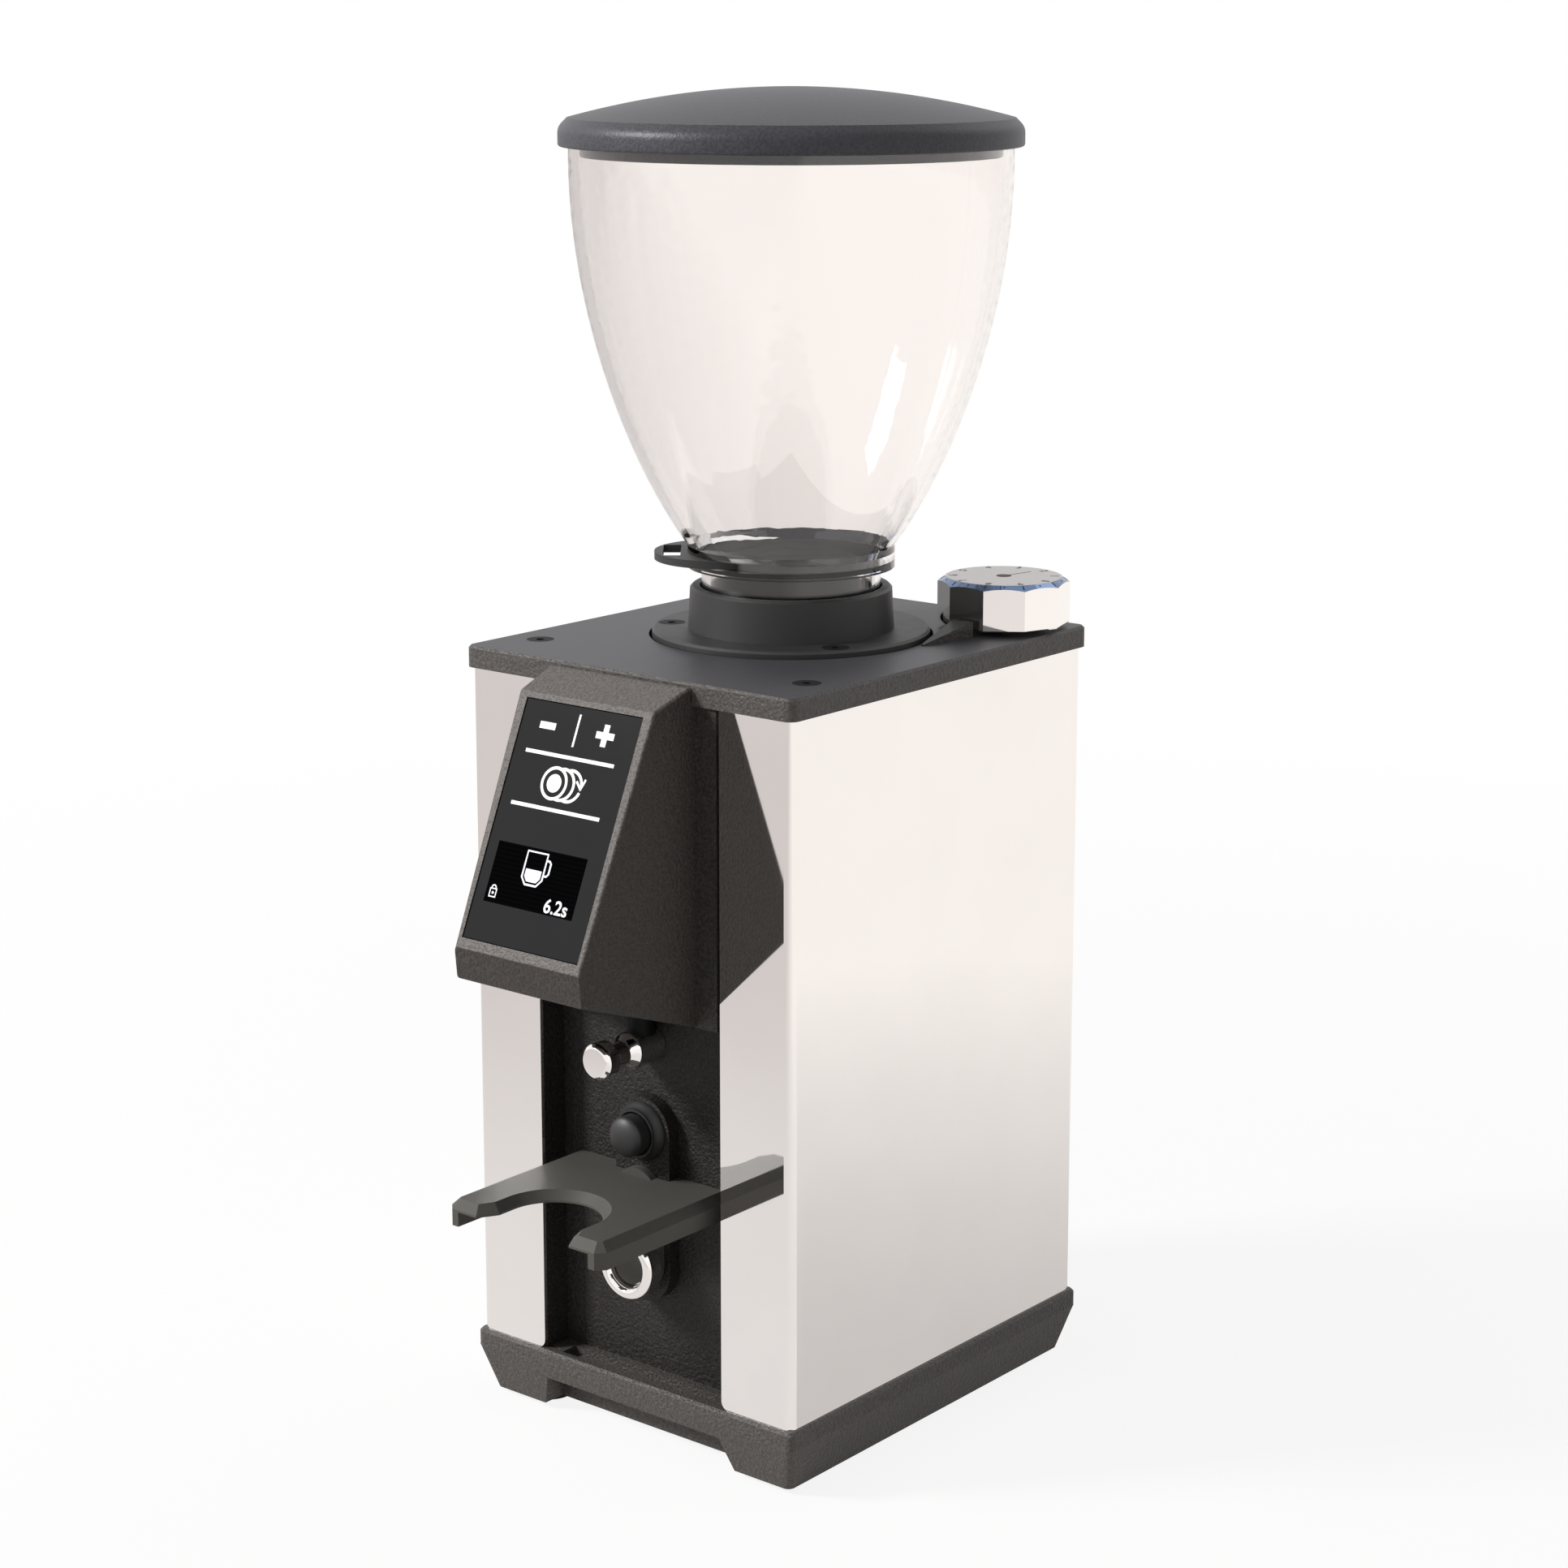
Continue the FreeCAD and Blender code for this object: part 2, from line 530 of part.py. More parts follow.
def make_rear_panel():
    """Black plate behind the case's rear window, with openings for the inlet and the switch."""
    plate = rear_block("rear_plate", "rear_wide / 2", "rear_tall / 2", "case_back",
                       "case_back + rear_thick")
    inlet = box("rear_inlet_hole", ("inlet_wide", "4 * rear_thick", "inlet_tall"),
                ("inlet_x - inlet_wide / 2", "back_in", "rear_mid_z - inlet_tall / 2"))
    rocker = box("rear_rocker_hole",
                 ("rocker_wide + 2 * rocker_room", "4 * rear_thick", "rocker_tall + 2 * rocker_room"),
                 ("-rocker_x - rocker_wide / 2 - rocker_room", "back_in",
                  "rear_mid_z - rocker_tall / 2 - rocker_room"))
    node("rear_panel", cut("rear_panel", plate, inlet, rocker, *rear_holes("panel")))


def make_rear_screws():
    """Four small round-head screws that hold the rear panel to the case."""
    screws = []
    for i, (side, level) in enumerate(REAR_SCREWS):
        x = f"{side} * (rear_wide - rear_lap) / 2"
        z = f"rear_mid_z + {level} * (rear_tall - rear_lap) / 2"
        shank = cyl(f"rear_shank_{i}", "screw_radius / 2", "case_sheet + rear_thick", (x, "back_in", z),
                    "+Y")
        head = cyl(f"rear_head_{i}", "screw_radius - run_gap", "case_sheet",
                   (x, "case_back + rear_thick", z), "+Y")
        screws.append(fuse(f"rear_screw_{i}", shank, head))
    node("rear_screws", group("rear_screws", screws))


def make_power_inlet():
    """Mains inlet: a socket open to the rear with three flat pins."""
    low = "rear_mid_z - inlet_tall / 2"
    shell = box("inlet_shell", ("inlet_wide", "inlet_deep + case_sheet + rear_thick", "inlet_tall"),
                ("inlet_x - inlet_wide / 2", "back_in - inlet_deep", low))
    hollow = box("inlet_hollow",
                 ("inlet_wide - 2 * front_sheet", "2 * inlet_deep", "inlet_tall - 2 * front_sheet"),
                 ("inlet_x - inlet_wide / 2 + front_sheet", "back_in - inlet_deep + front_sheet",
                  low + " + front_sheet"))
    cup = cut("inlet_cup", shell, hollow)
    pins = [box(f"inlet_pin_{i}", ("2 * inlet_pin", "inlet_deep / 2", "4 * inlet_pin"),
                (f"inlet_x + {step} * inlet_wide / 4 - inlet_pin", "back_in - inlet_deep",
                 f"rear_mid_z - 2 * inlet_pin + {lift} * inlet_pin"))
            for i, (step, lift) in enumerate((("-1", "1"), ("0", "-1"), ("1", "1")))]
    node("power_inlet", fuse("power_inlet", cup, *pins))


def make_switch_rocker():
    """Mains rocker: a two-slope key on a cross axle."""
    body = new_body("rocker_body", ("-rocker_x", "case_back", "rear_mid_z"))
    face = "rear_thick + rocker_bulge"
    tall = "rocker_tall / 2"
    side = [("-rocker_deep", f"-({tall}) / 2"), (face, f"-({tall})"),
            ("rear_thick + rocker_bulge / 3", "0"),
            (face, tall), ("-rocker_deep", f"({tall}) / 2")]
    pad(body, sketch(body, "YZ_Plane", side), "rocker_wide", both_ways=True)
    node("switch_rocker", body)


def make_rocker_frame():
    """Frame behind the rear panel that carries the rocker on two short pivots."""
    deep = "2 * rocker_deep"
    outer = box("rocker_outer", ("rocker_wide + 2 * rocker_room + 2 * front_sheet", deep,
                                 "rocker_tall + 2 * rocker_room + 2 * front_sheet"),
                ("-rocker_x - rocker_wide / 2 - rocker_room - front_sheet", f"case_back - {deep}",
                 "rear_mid_z - rocker_tall / 2 - rocker_room - front_sheet"))
    hollow = box("rocker_hollow",
                 ("rocker_wide + 2 * rocker_room", deep, "rocker_tall + 2 * rocker_room"),
                 ("-rocker_x - rocker_wide / 2 - rocker_room", f"case_back - {deep} + front_sheet",
                  "rear_mid_z - rocker_tall / 2 - rocker_room"))
    node("rocker_frame", cut("rocker_frame", outer, hollow))


def make_front_plate():
    """Channel set back between the case flanges, with openings for what passes through it."""
    half = "opening_half + recess_wall"
    shell = block("front_shell", half, "plate_inner_y", "back_in", "case_z", "top_z")
    room = block("front_room", "opening_half", "front_y", "case_back", "case_z - base_deck",
                 "top_z + top_thick")
    stem = cyl("front_stem_hole", "stem_radius + side_gap", "3 * front_sheet",
               ("0", "-plate_inner_y + front_sheet", "button_z"), "-Y")
    slot = lock_slot("front_slot", "plate_inner_y - front_sheet", "front_y + front_sheet")
    pin = cyl("front_pin_hole", "pin_neck", "3 * front_sheet",
              ("0", "-plate_inner_y + front_sheet", "pin_z"), "-Y")
    chute = block("front_chute_hole", "chute_half + side_gap", "plate_inner_y - front_sheet",
                  "front_y + front_sheet",
                  "case_z + chute_out", "case_z + chute_start + chute_tall + chute_wall")
    node("front_plate", cut("front_plate", shell, room, stem, slot, pin, chute))


def lock_slot(name, back, front):
    """Upright slot that the lock stud slides along."""
    half = "(stud_radius + side_gap)"
    return block(name, half, back, front, f"lock_z - fork_down - {half}", f"lock_z + fork_up + {half}")


def make_guide_rail():
    """Raised pad with round ends behind the button and the fork's tongue."""
    bar = block("rail_bar", "rail_half", "front_y", "rail_y", "rail_low_z", "button_z")
    ends = [cyl(f"rail_end_{i}", "rail_half", "rail_thick", ("0", "-front_y", z), "-Y")
            for i, z in enumerate(("rail_low_z", "button_z"))]
    whole = fuse("rail_whole", bar, *ends)
    stem = cyl("rail_stem_hole", "stem_radius + side_gap", "3 * rail_thick",
               ("0", "-front_y + rail_thick", "button_z"), "-Y")
    node("guide_rail",
         cut("guide_rail", whole, lock_slot("rail_slot", "front_y - front_sheet", "rail_y + front_sheet"),
             stem))


def make_button_bezel():
    """Bell-shaped boss round the start button."""
    bell = cone("bezel_bell", "bezel_radius", "bezel_nose", "bezel_thick", ("0", "-rail_y", "button_z"),
                "-Y")
    bore = cyl("bezel_bore", "button_radius + side_gap", "3 * bezel_thick",
               ("0", "-rail_y + bezel_thick", "button_z"), "-Y")
    node("button_bezel", cut("button_bezel", bell, bore))


def make_start_button():
    """Domed push button on a stem that reaches the switch."""
    body = turned("start_button_body", [
        ("0", "-stem_reach"), ("stem_radius", "-stem_reach"),
        ("stem_radius", "button_reach - button_skirt"),
        ("button_radius", "button_reach - button_skirt"), ("button_radius", "button_reach"),
        ("button_radius * 0.86", "button_reach + button_dome * 0.5"),
        ("button_radius * 0.5", "button_reach + button_dome * 0.87"),
        ("0", "button_reach + button_dome")],
        ("0", "-rail_y", "button_z"))
    body.Placement = FreeCAD.Placement(body.Placement.Base, FreeCAD.Rotation(V(1, 0, 0), 90))
    place(body, ("0", "-rail_y", "button_z"))
    node("start_button", body)


def make_button_spring():
    """Return spring round the button's stem."""
    length = "button_reach - button_skirt"
    tube = cyl("spring_tube", "stem_radius + spring_room + spring_wall", length,
               ("0", "-rail_y", "button_z"), "-Y")
    bore = cyl("spring_bore", "stem_radius + spring_room", f"3 * ({length})",
               ("0", f"-rail_y + ({length})", "button_z"), "-Y")
    node("button_spring", cut("button_spring", tube, bore))


def make_start_switch():
    """Switch housing behind the front plate, open towards the button's stem."""
    shell = box("switch_shell", ("switch_width", "switch_deep", "switch_tall"),
                ("-switch_width / 2", "-plate_inner_y", "button_z - switch_tall / 2"))
    bore = cyl("switch_bore", "stem_radius + side_gap", "2 * switch_deep",
               ("0", "-rail_y + stem_reach + button_travel + side_gap", "button_z"), "-Y")
    node("start_switch", cut("start_switch", shell, bore))


def make_hook():
    """Chrome hook pin for a filter holder's rim, and the post over it."""
    reach = "pin_reach"
    pin = turned("hook_pin_body", [
        ("0", "-2 * front_sheet"), ("pin_neck", "-2 * front_sheet"), ("pin_neck", "0"),
        ("pin_radius", "0"),
        ("pin_radius", "pin_body - pin_bevel"), ("pin_neck", "pin_body + pin_bevel"),
        ("pin_neck", f"{reach} - pin_head_long - pin_bevel"), ("pin_head", f"{reach} - pin_head_long"),
        ("pin_head", f"{reach} - pin_bevel"), ("pin_head - pin_bevel", reach), ("0", reach)],
        ("0", "-front_y", "pin_z"))
    pin.Placement = FreeCAD.Placement(pin.Placement.Base, FreeCAD.Rotation(V(1, 0, 0), 90))
    place(pin, ("0", "-front_y", "pin_z"))
    node("hook_pin", pin)
    bar = cyl("hook_post_bar", "post_radius", "head_low_z - pin_z", ("0", "-post_y", "pin_z"))
    clear = cyl("hook_post_clear", "pin_radius", "2 * pin_reach", ("0", "-plate_inner_y", "pin_z"), "-Y")
    node("hook_post", cut("hook_post", bar, clear))


def make_fork():
    """Fork for a filter holder: bevelled plate with a U slot, two side rails and a tongue on the rail."""
    body = new_body("fork_body")
    back = "front_y + side_gap"
    front = "front_y + fork_reach"
    slot = "front_y + slot_bottom"
    centre = f"({slot} + slot_half)"
    outline = [("fork_half", f"-({back})"), ("fork_half", f"-({front})"), ("tip_inner", f"-({front})"),
               ("slot_half", f"-({front} - tip_slope)"), ("slot_half", f"-{centre}"),
               ("-slot_half", f"-{centre}"), ("-slot_half", f"-({front} - tip_slope)"),
               ("-tip_inner", f"-({front})"), ("-fork_half", f"-({front})"), ("-fork_half", f"-({back})")]
    pad(body, sketch(body, "XY_Plane", outline, "fork_low_z"), "fork_deep")
    side = num("fork_half")
    dress(body, "Chamfer", "fork_bevel",
          lambda e: upright(e) and near(abs(e.BoundBox.XMin), side) and near(e.BoundBox.YMin,
                                                                             -num(front)))
    top = num("fork_z")
    dress(body, "Chamfer", "fork_bevel",
          lambda e: near(e.BoundBox.ZMin, top) and near(e.BoundBox.ZMax, top)
          and not near(e.BoundBox.YMin, -num(back)) and not near(e.BoundBox.YMin, -num(centre)))
    arc = cyl("fork_arc", "slot_half", "3 * fork_deep", ("0", f"-{centre}", "fork_low_z - fork_deep"))
    edge = cone("fork_arc_edge", "slot_half - fork_bevel", "slot_half + fork_bevel", "2 * fork_bevel",
                ("0", f"-{centre}", "fork_z - 2 * fork_bevel"))
    under = block("fork_under", "fork_half - fork_rail", "front_y - fork_rail",
                  "front_y + fork_reach + fork_rail",
                  "fork_low_z - fork_deep", "fork_z - fork_thick")
    gap = block("fork_rail_gap", "rail_half + side_gap", "front_y - front_sheet", "tongue_y",
                "fork_low_z - fork_deep", "fork_z + fork_deep")
    plate = cut("fork_plate", body, arc, edge, under, gap)
    strip = block("tongue_strip", "tongue_half", "tongue_y", "tongue_front", "lock_z",
                  "fork_z + tongue_rise - tongue_half")
    ends = [cyl(f"tongue_end_{i}", "tongue_half", "tongue_thick", ("0", "-tongue_y", z), "-Y")
            for i, z in enumerate(("lock_z", "fork_z + tongue_rise - tongue_half"))]
    bore = cyl("tongue_bore", "stud_radius + run_gap", "4 * tongue_thick",
               ("0", "-tongue_y + tongue_thick", "lock_z"), "-Y")
    node("fork", cut("fork", fuse("fork_whole", plate, strip, *ends), bore))


def make_lock():
    """Lock knob with a dished face, its stud through the rail, and the clamp nut behind the plate."""
    front = "lock_long"
    crest = "lock_radius - lock_rim / 2"
    at = ("0", "-(tongue_front + run_gap)", "lock_z")
    knob = turned("lock_body", [
        ("0", "0"), ("lock_radius", "0"), ("lock_radius", f"{front} - lock_rim / 2"),
        ("lock_radius - 0.15 * lock_rim", f"{front} - 0.15 * lock_rim"), (crest, front),
        (f"{crest} - 0.35 * lock_rim", f"{front} - 0.15 * lock_rim"),
        (f"{crest} - lock_rim / 2", f"{front} - lock_rim / 2"),
        (f"{crest} - 0.6 * lock_rim", f"{front} - lock_dish"),
        ("0", f"{front} - lock_dish")], at)
    knob.Placement = FreeCAD.Placement(knob.Placement.Base, FreeCAD.Rotation(V(1, 0, 0), 90))
    place(knob, at)
    node("fork_lock_knob", knob)
    stud_long = "tongue_front + run_gap - plate_inner_y + nut_thick"
    node("lock_stud", cyl("lock_stud", "stud_radius", stud_long, at, "+Y"))
    nut = block("nut_block", "nut_half", "plate_inner_y - side_gap - nut_thick",
                "plate_inner_y - side_gap",
                "lock_z - nut_half", "lock_z + nut_half")
    bore = cyl("nut_bore", "stud_radius + run_gap", "4 * nut_thick",
               ("0", "-plate_inner_y + 2 * nut_thick", "lock_z"), "-Y")
    node("clamp_nut", cut("clamp_nut", nut, bore))


def make_top_plate():
    """Cover plate: bevelled edge, collar opening, bush bore, screw seats and the dial's index wedge."""
    body = new_body("top_body")
    pad(body, sketch(body, "XY_Plane", rectangle("plate_half", "-plate_back", "plate_back"), "top_z"),
        "top_thick")
    dress(body, "Fillet", "top_corner", upright)
    high = num("cap_z")
    dress(body, "Chamfer", "top_bevel",
          lambda e: near(e.BoundBox.ZMin, high) and near(e.BoundBox.ZMax, high))
    wedge = doc.addObject("Part::Wedge", "index_wedge")
    bind(wedge, Xmin="-wedge_tip", Xmax="wedge_tip", Ymin="0", Ymax="wedge_long", Zmin="0",
         Zmax="wedge_tip",
         X2min="-wedge_wide / 2", X2max="wedge_wide / 2", Z2min="0", Z2max="wedge_tall")
    place(wedge, ("spindle_x", "wedge_start", "cap_z"))
    collar = cyl("top_collar_hole", "flange_radius + flange_gap", "3 * top_thick",
                 ("0", "axis_y", "top_z - top_thick"))
    bush = cyl("top_bush_hole", "bush_radius", "3 * top_thick",
               ("spindle_x", "spindle_y", "top_z - top_thick"))
    seats = [screw_hole(f"top_screw_seat_{i}", at, "cap_z") for i, at in enumerate(POSTS)]
    node("top_plate", cut("top_plate", fuse("top_whole", body, wedge), collar, bush, *seats))
    screws = [screw(f"top_screw_{i}", at, "cap_z") for i, at in enumerate(POSTS)]
    node("top_plate_screws", group("top_plate_screws", screws))


def make_collar():
    """Hopper collar: screwed flange and upstand, with a bore for the hopper's neck."""
    body = turned("collar_body", [
        ("collar_bore", "seat_z"), ("flange_radius", "seat_z"), ("flange_radius", "flange_z - top_bevel"),
        ("flange_radius - top_bevel", "flange_z"), ("collar_foot", "flange_z"),
        ("collar_head", "collar_z - top_bevel"),
        ("collar_head - top_bevel", "collar_z"), ("collar_bore", "collar_z")])
    seats = [screw_hole(f"collar_seat_{i}", at, "flange_z") for i, at in enumerate(COLLAR_SCREWS)]
    node("collar", cut("collar", body, *seats))
    screws = [screw(f"collar_screw_{i}", at, "flange_z") for i, at in enumerate(COLLAR_SCREWS)]
    node("collar_screws", group("collar_screws", screws))


def hopper_curve(inset):
    """Bowl curve in the XZ plane, from the shoulder to the mouth, moved in by a wall."""
    shoulder = num("shoulder_radius") - inset
    mouth = num("hopper_mouth") - inset
    low = num("bowl_z")
    tall = num("mouth_z") - low
    flare = [(0.0, 0.0), (0.31, 0.146), (0.63, 0.357), (0.865, 0.592), (0.985, 0.825), (1.0, 1.0)]
    points = [V(shoulder + (mouth - shoulder) * out, 0, low + tall * up) for out, up in flare]
    curve = Part.BSplineCurve()
    curve.interpolate(points)
    return curve.toShape(), points[0], points[-1]


def line(a, b):
    return Part.LineSegment(a, b).toShape()


def make_hopper():
    """Clear bowl, its curve spun about the hopper axis, with a plug-in neck and a slot for the gate."""
    outer, outer_low, outer_high = hopper_curve(0)
    inner, inner_low, inner_high = hopper_curve(num("hopper_wall"))
    neck = num("neck_radius")
    bore = neck - num("hopper_wall")
    neck_low = num("collar_z - neck_deep")
    shoulder_z = num("shoulder_z")
    corners = [inner_low, V(bore, 0, shoulder_z), V(bore, 0, neck_low), V(neck, 0, neck_low),
               V(neck, 0, shoulder_z),
               V(outer_low.x, 0, shoulder_z), outer_low]
    edges = [line(a, b) for a, b in zip(corners, corners[1:])]
    wire = Part.Wire(Part.__sortEdges__(edges + [outer, line(outer_high, inner_high), inner]))
    bowl = doc.addObject("Part::Feature", "hopper_bowl")
    bowl.Shape = Part.Face(wire).revolve(V(), V(0, 0, 1), 360)
    place(bowl, ("0", "axis_y", "0"))
    slot_tall = "gate_thick + 2 * gate_room"
    low = "gate_z - gate_room"
    disc = cyl("gate_slot_disc", "gate_disc + side_gap", slot_tall, ("0", "axis_y", low))
    reach = box("gate_slot_reach", ("2 * shoulder_radius", "2 * (gate_disc + side_gap)", slot_tall),
                ("-2 * shoulder_radius", "axis_y - gate_disc - side_gap", low))
    node("hopper", cut("hopper", bowl, turn_on_axis(fuse("gate_slot", disc, reach))))


def turn_on_axis(obj):
    """The object turned about the hopper axis to the gate's direction."""
    turned_obj = doc.addObject("Part::Compound", obj.Name + "_turned")
    turned_obj.Links = [obj]
    angle = num("gate_angle")
    spin = FreeCAD.Rotation(V(0, 0, 1), angle)
    centre = V(0, num("axis_y"), 0)
    turned_obj.Placement = FreeCAD.Placement(centre - spin.multVec(centre), spin)
    return turned_obj


def make_gate():
    """Sliding gate: a disc over the neck's bore with a wide tab that has a finger hole."""
    disc = cyl("gate_plate_disc", "gate_disc", "gate_thick", ("0", "axis_y", "gate_z"))
    tab_centre = "-(gate_reach - gate_tab)"
    tab = box("gate_plate_tab", ("gate_reach - gate_tab", "2 * gate_tab", "gate_thick"),
              (tab_centre, "axis_y - gate_tab", "gate_z"))
    nose = cyl("gate_plate_nose", "gate_tab", "gate_thick", (tab_centre, "axis_y", "gate_z"))
    plate = fuse("gate_plate", disc, tab, nose)
    hole = box("gate_finger_hole", ("gate_hole_wide", "2 * gate_hole", "3 * gate_thick"),
               ("-(gate_reach - hopper_wall)", "axis_y - gate_hole", "gate_z - gate_thick"))
    node("hopper_gate", turn_on_axis(cut("gate_holed", plate, hole)))


def make_lid():
    """Domed lid, rim outside the hopper's mouth and plug inside; the dome falls as the radius squared."""
    rim_low = "mouth_z - lid_drop"
    rim_top = "mouth_z + lid_rim"
    apex = "mouth_z + lid_dome"
    plug = "hopper_mouth - hopper_wall - lid_room"
    crown = "lid_radius - lid_shoulder"
    fall = "(lid_dome - lid_rim - lid_shoulder)"
    shares = (1, 0.85, 0.7, 0.55, 0.4, 0.25, 0.12)
    dome = [(f"({crown}) * {share}", f"{apex} - {fall} * {share ** 2}") for share in shares]
    inner = f"{plug} - lid_wall"
    ceiling = [(f"({inner}) * {share}", f"{apex} - lid_wall - {fall} * {share ** 2}") for share in shares]
    body = turned("lid_body", [
        ("0", f"{apex} - lid_wall"), *reversed(ceiling), (inner, "mouth_z - lid_plug"),
        (plug, "mouth_z - lid_plug"),
        (plug, "mouth_z"), ("hopper_mouth + lid_room", "mouth_z"), ("hopper_mouth + lid_room", rim_low),
        ("lid_radius - lid_edge", rim_low), ("lid_radius", f"{rim_low} + lid_edge"),
        ("lid_radius", rim_top),
        ("lid_radius - lid_shoulder * 0.3", f"{rim_top} + lid_shoulder * 0.7"), *dome, ("0", apex)])
    node("hopper_lid", body)


def make_hopper_seal():
    """Seal ring in the collar that the hopper's neck stands on."""
    low = "collar_z - neck_deep - seal_thick"
    ring = cyl("seal_ring", "collar_bore", "seal_thick", ("0", "axis_y", low))
    bore = cyl("seal_bore", "neck_radius - hopper_wall", "3 * seal_thick",
               ("0", "axis_y", f"{low} - seal_thick"))
    node("hopper_seal", cut("hopper_seal", ring, bore))


def make_dial():
    """Ten-sided dial knob, its spindle with the pinion, and the bush in the top plate."""
    body = new_body("knob_body", ("spindle_x", "spindle_y", "knob_z"))
    sides = round(num("knob_sides"))
    corners = [(f"knob_corner * cos({360 * i / sides})",
                f"knob_corner * sin({360 * i / sides})") for i in range(sides)]
    pad(body, sketch(body, "XY_Plane", corners), "knob_tall")
    at = ("spindle_x", "spindle_y", "knob_z")
    edge = cone("knob_edge", "knob_disc + knob_tall / knob_slope", "knob_disc", "knob_tall", at)
    blank = common("knob_blank", body, edge)
    room = cyl("knob_room", "knob_corner - 3 * knob_wall", "knob_tall - knob_roof", at)
    hub = cyl("knob_hub_bar", "knob_hub", "knob_tall - knob_roof", at)
    bore = cyl("knob_bore", "spindle_radius", "knob_tall - knob_roof", at)
    node("dial_knob", cut("dial_knob", fuse("knob_whole", cut("knob_shell", blank, room), hub), bore))
    low = "ring_z - pinion_over"
    node("dial_spindle",
         cyl("dial_spindle", "spindle_radius", f"knob_z + knob_tall - knob_roof - ({low})",
                             ("spindle_x", "spindle_y", low)))
    sleeve = cyl("bush_sleeve", "bush_radius", "top_thick + bush_lip",
                 ("spindle_x", "spindle_y", "top_z"))
    bush_bore = cyl("bush_bore", "spindle_radius + run_gap", "4 * top_thick",
                    ("spindle_x", "spindle_y", "top_z - top_thick"))
    node("spindle_bush", cut("spindle_bush", sleeve, bush_bore))


def gear_face(teeth, centre, first):
    """Face of a spur gear with straight-flanked teeth, one centred on the first angle in degrees."""
    module = num("gear_module")
    pitch_radius = teeth * module / 2
    step = 2 * math.pi / teeth
    outline = []
    for i in range(teeth):
        middle = math.radians(first) + i * step
        for radius, share in ((pitch_radius - 1.15 * module, -0.31), (pitch_radius + 0.8 * module, -0.1),
                              (pitch_radius + 0.8 * module, 0.1), (pitch_radius - 1.15 * module, 0.31)):
            angle = middle + share * step
            outline.append(centre + V(radius * math.cos(angle), radius * math.sin(angle), 0))
    return Part.Face(Part.makePolygon(outline + outline[:1]))


def make_adjustment():
    """Pinion on the dial's spindle and the ring gear that it turns on the chamber's hub."""
    ring_centre = V(0, num("axis_y"), 0)
    spindle = V(num("spindle_x"), num("spindle_y"), 0)
    aim = math.degrees(math.atan2(spindle.y - ring_centre.y, spindle.x))
    ring_teeth = round(num("ring_teeth"))
    pinion_teeth = round(num("pinion_teeth"))
    ring = doc.addObject("Part::Feature", "ring_blank")
    ring.Shape = gear_face(ring_teeth, ring_centre, aim).extrude(V(0, 0, num("ring_tall")))
    place(ring, ("0", "0", "ring_z"))
    ring_bore = cyl("ring_bore", "hub_radius + run_gap", "3 * ring_tall",
                    ("0", "axis_y", "ring_z - ring_tall"))
    node("adjust_ring", cut("adjust_ring", ring, ring_bore))
    pinion = doc.addObject("Part::Feature", "pinion_blank")
    face = gear_face(pinion_teeth, spindle, aim + 180 + 180 / pinion_teeth)
    pinion.Shape = face.extrude(V(0, 0, num("ring_tall + 2 * pinion_over")))
    place(pinion, ("0", "0", "ring_z - pinion_over"))
    pinion_bore = cyl("pinion_bore", "spindle_radius", "4 * ring_tall",
                      ("spindle_x", "spindle_y", "ring_z - ring_tall"))
    node("adjust_pinion", cut("adjust_pinion", pinion, pinion_bore))


def on_axis(name, radius, height, low):
    return cyl(name, radius, height, ("0", "axis_y", low))


def make_chamber():
    """Cast chamber: cup for the burrs, hub for the ring gear, and a lug for the spindle's end."""
    cup = turned("chamber_body", [
        ("shaft_radius + side_gap", "hub_z"), ("hub_radius + hub_step", "hub_z"),
        ("hub_radius + hub_step", "ring_z - side_gap"),
        ("hub_radius", "ring_z - side_gap"), ("hub_radius", "chamber_z"), ("chamber_radius", "chamber_z"),
        ("chamber_radius", "top_z"), ("flange_radius", "top_z"), ("flange_radius", "seat_z"),
        ("chamber_bore", "seat_z"), ("chamber_bore", "floor_z"),
        ("shaft_radius + side_gap", "floor_z")])
    lug = cyl("lug_eye", "lug_radius", "lug_tall", ("spindle_x", "spindle_y", "chamber_z + pinion_over"))
    arm = box("lug_arm", ("gear_gap - hub_radius", "2 * lug_radius", "lug_tall"),
              ("hub_radius", "axis_y - lug_radius", "chamber_z + pinion_over"))
    arm_turn = math.degrees(math.acos(num("spindle_x / gear_gap")))
    spin = FreeCAD.Rotation(V(0, 0, 1), arm_turn)
    arm_group = group("lug_arm_turned", [arm])
    centre = V(0, num("axis_y"), 0)
    arm_group.Placement = FreeCAD.Placement(centre - spin.multVec(centre), spin)
    room = on_axis("chamber_room", "chamber_bore", "seat_z - floor_z", "floor_z")
    eye = cyl("lug_bore", "spindle_radius + run_gap", "4 * lug_tall",
              ("spindle_x", "spindle_y", "chamber_z - lug_tall"))
    outlet = block("chamber_outlet", "chute_half - chute_wall", "0", "chamber_radius - axis_y + side_gap",
                   "floor_z + chute_wall", "case_z + chute_start + chute_tall - chute_wall")
    bolts = [cyl(f"chamber_bolt_{i}", "bolt_radius", "bolt_head_tall * 3", (x, y, "hub_z"))
             for i, (x, y) in enumerate(circle_places(4, "bolt_ring", 45))]
    threads = [cyl(f"chamber_thread_{i}", "screw_radius", "screw_long", (x, y, "seat_z - screw_long"))
               for i, (x, y) in enumerate(COLLAR_SCREWS)]
    hollow = [room, eye, outlet, *bolts, *threads]
    node("grind_chamber", cut("grind_chamber", fuse("chamber_whole", cup, lug, arm_group), *hollow))


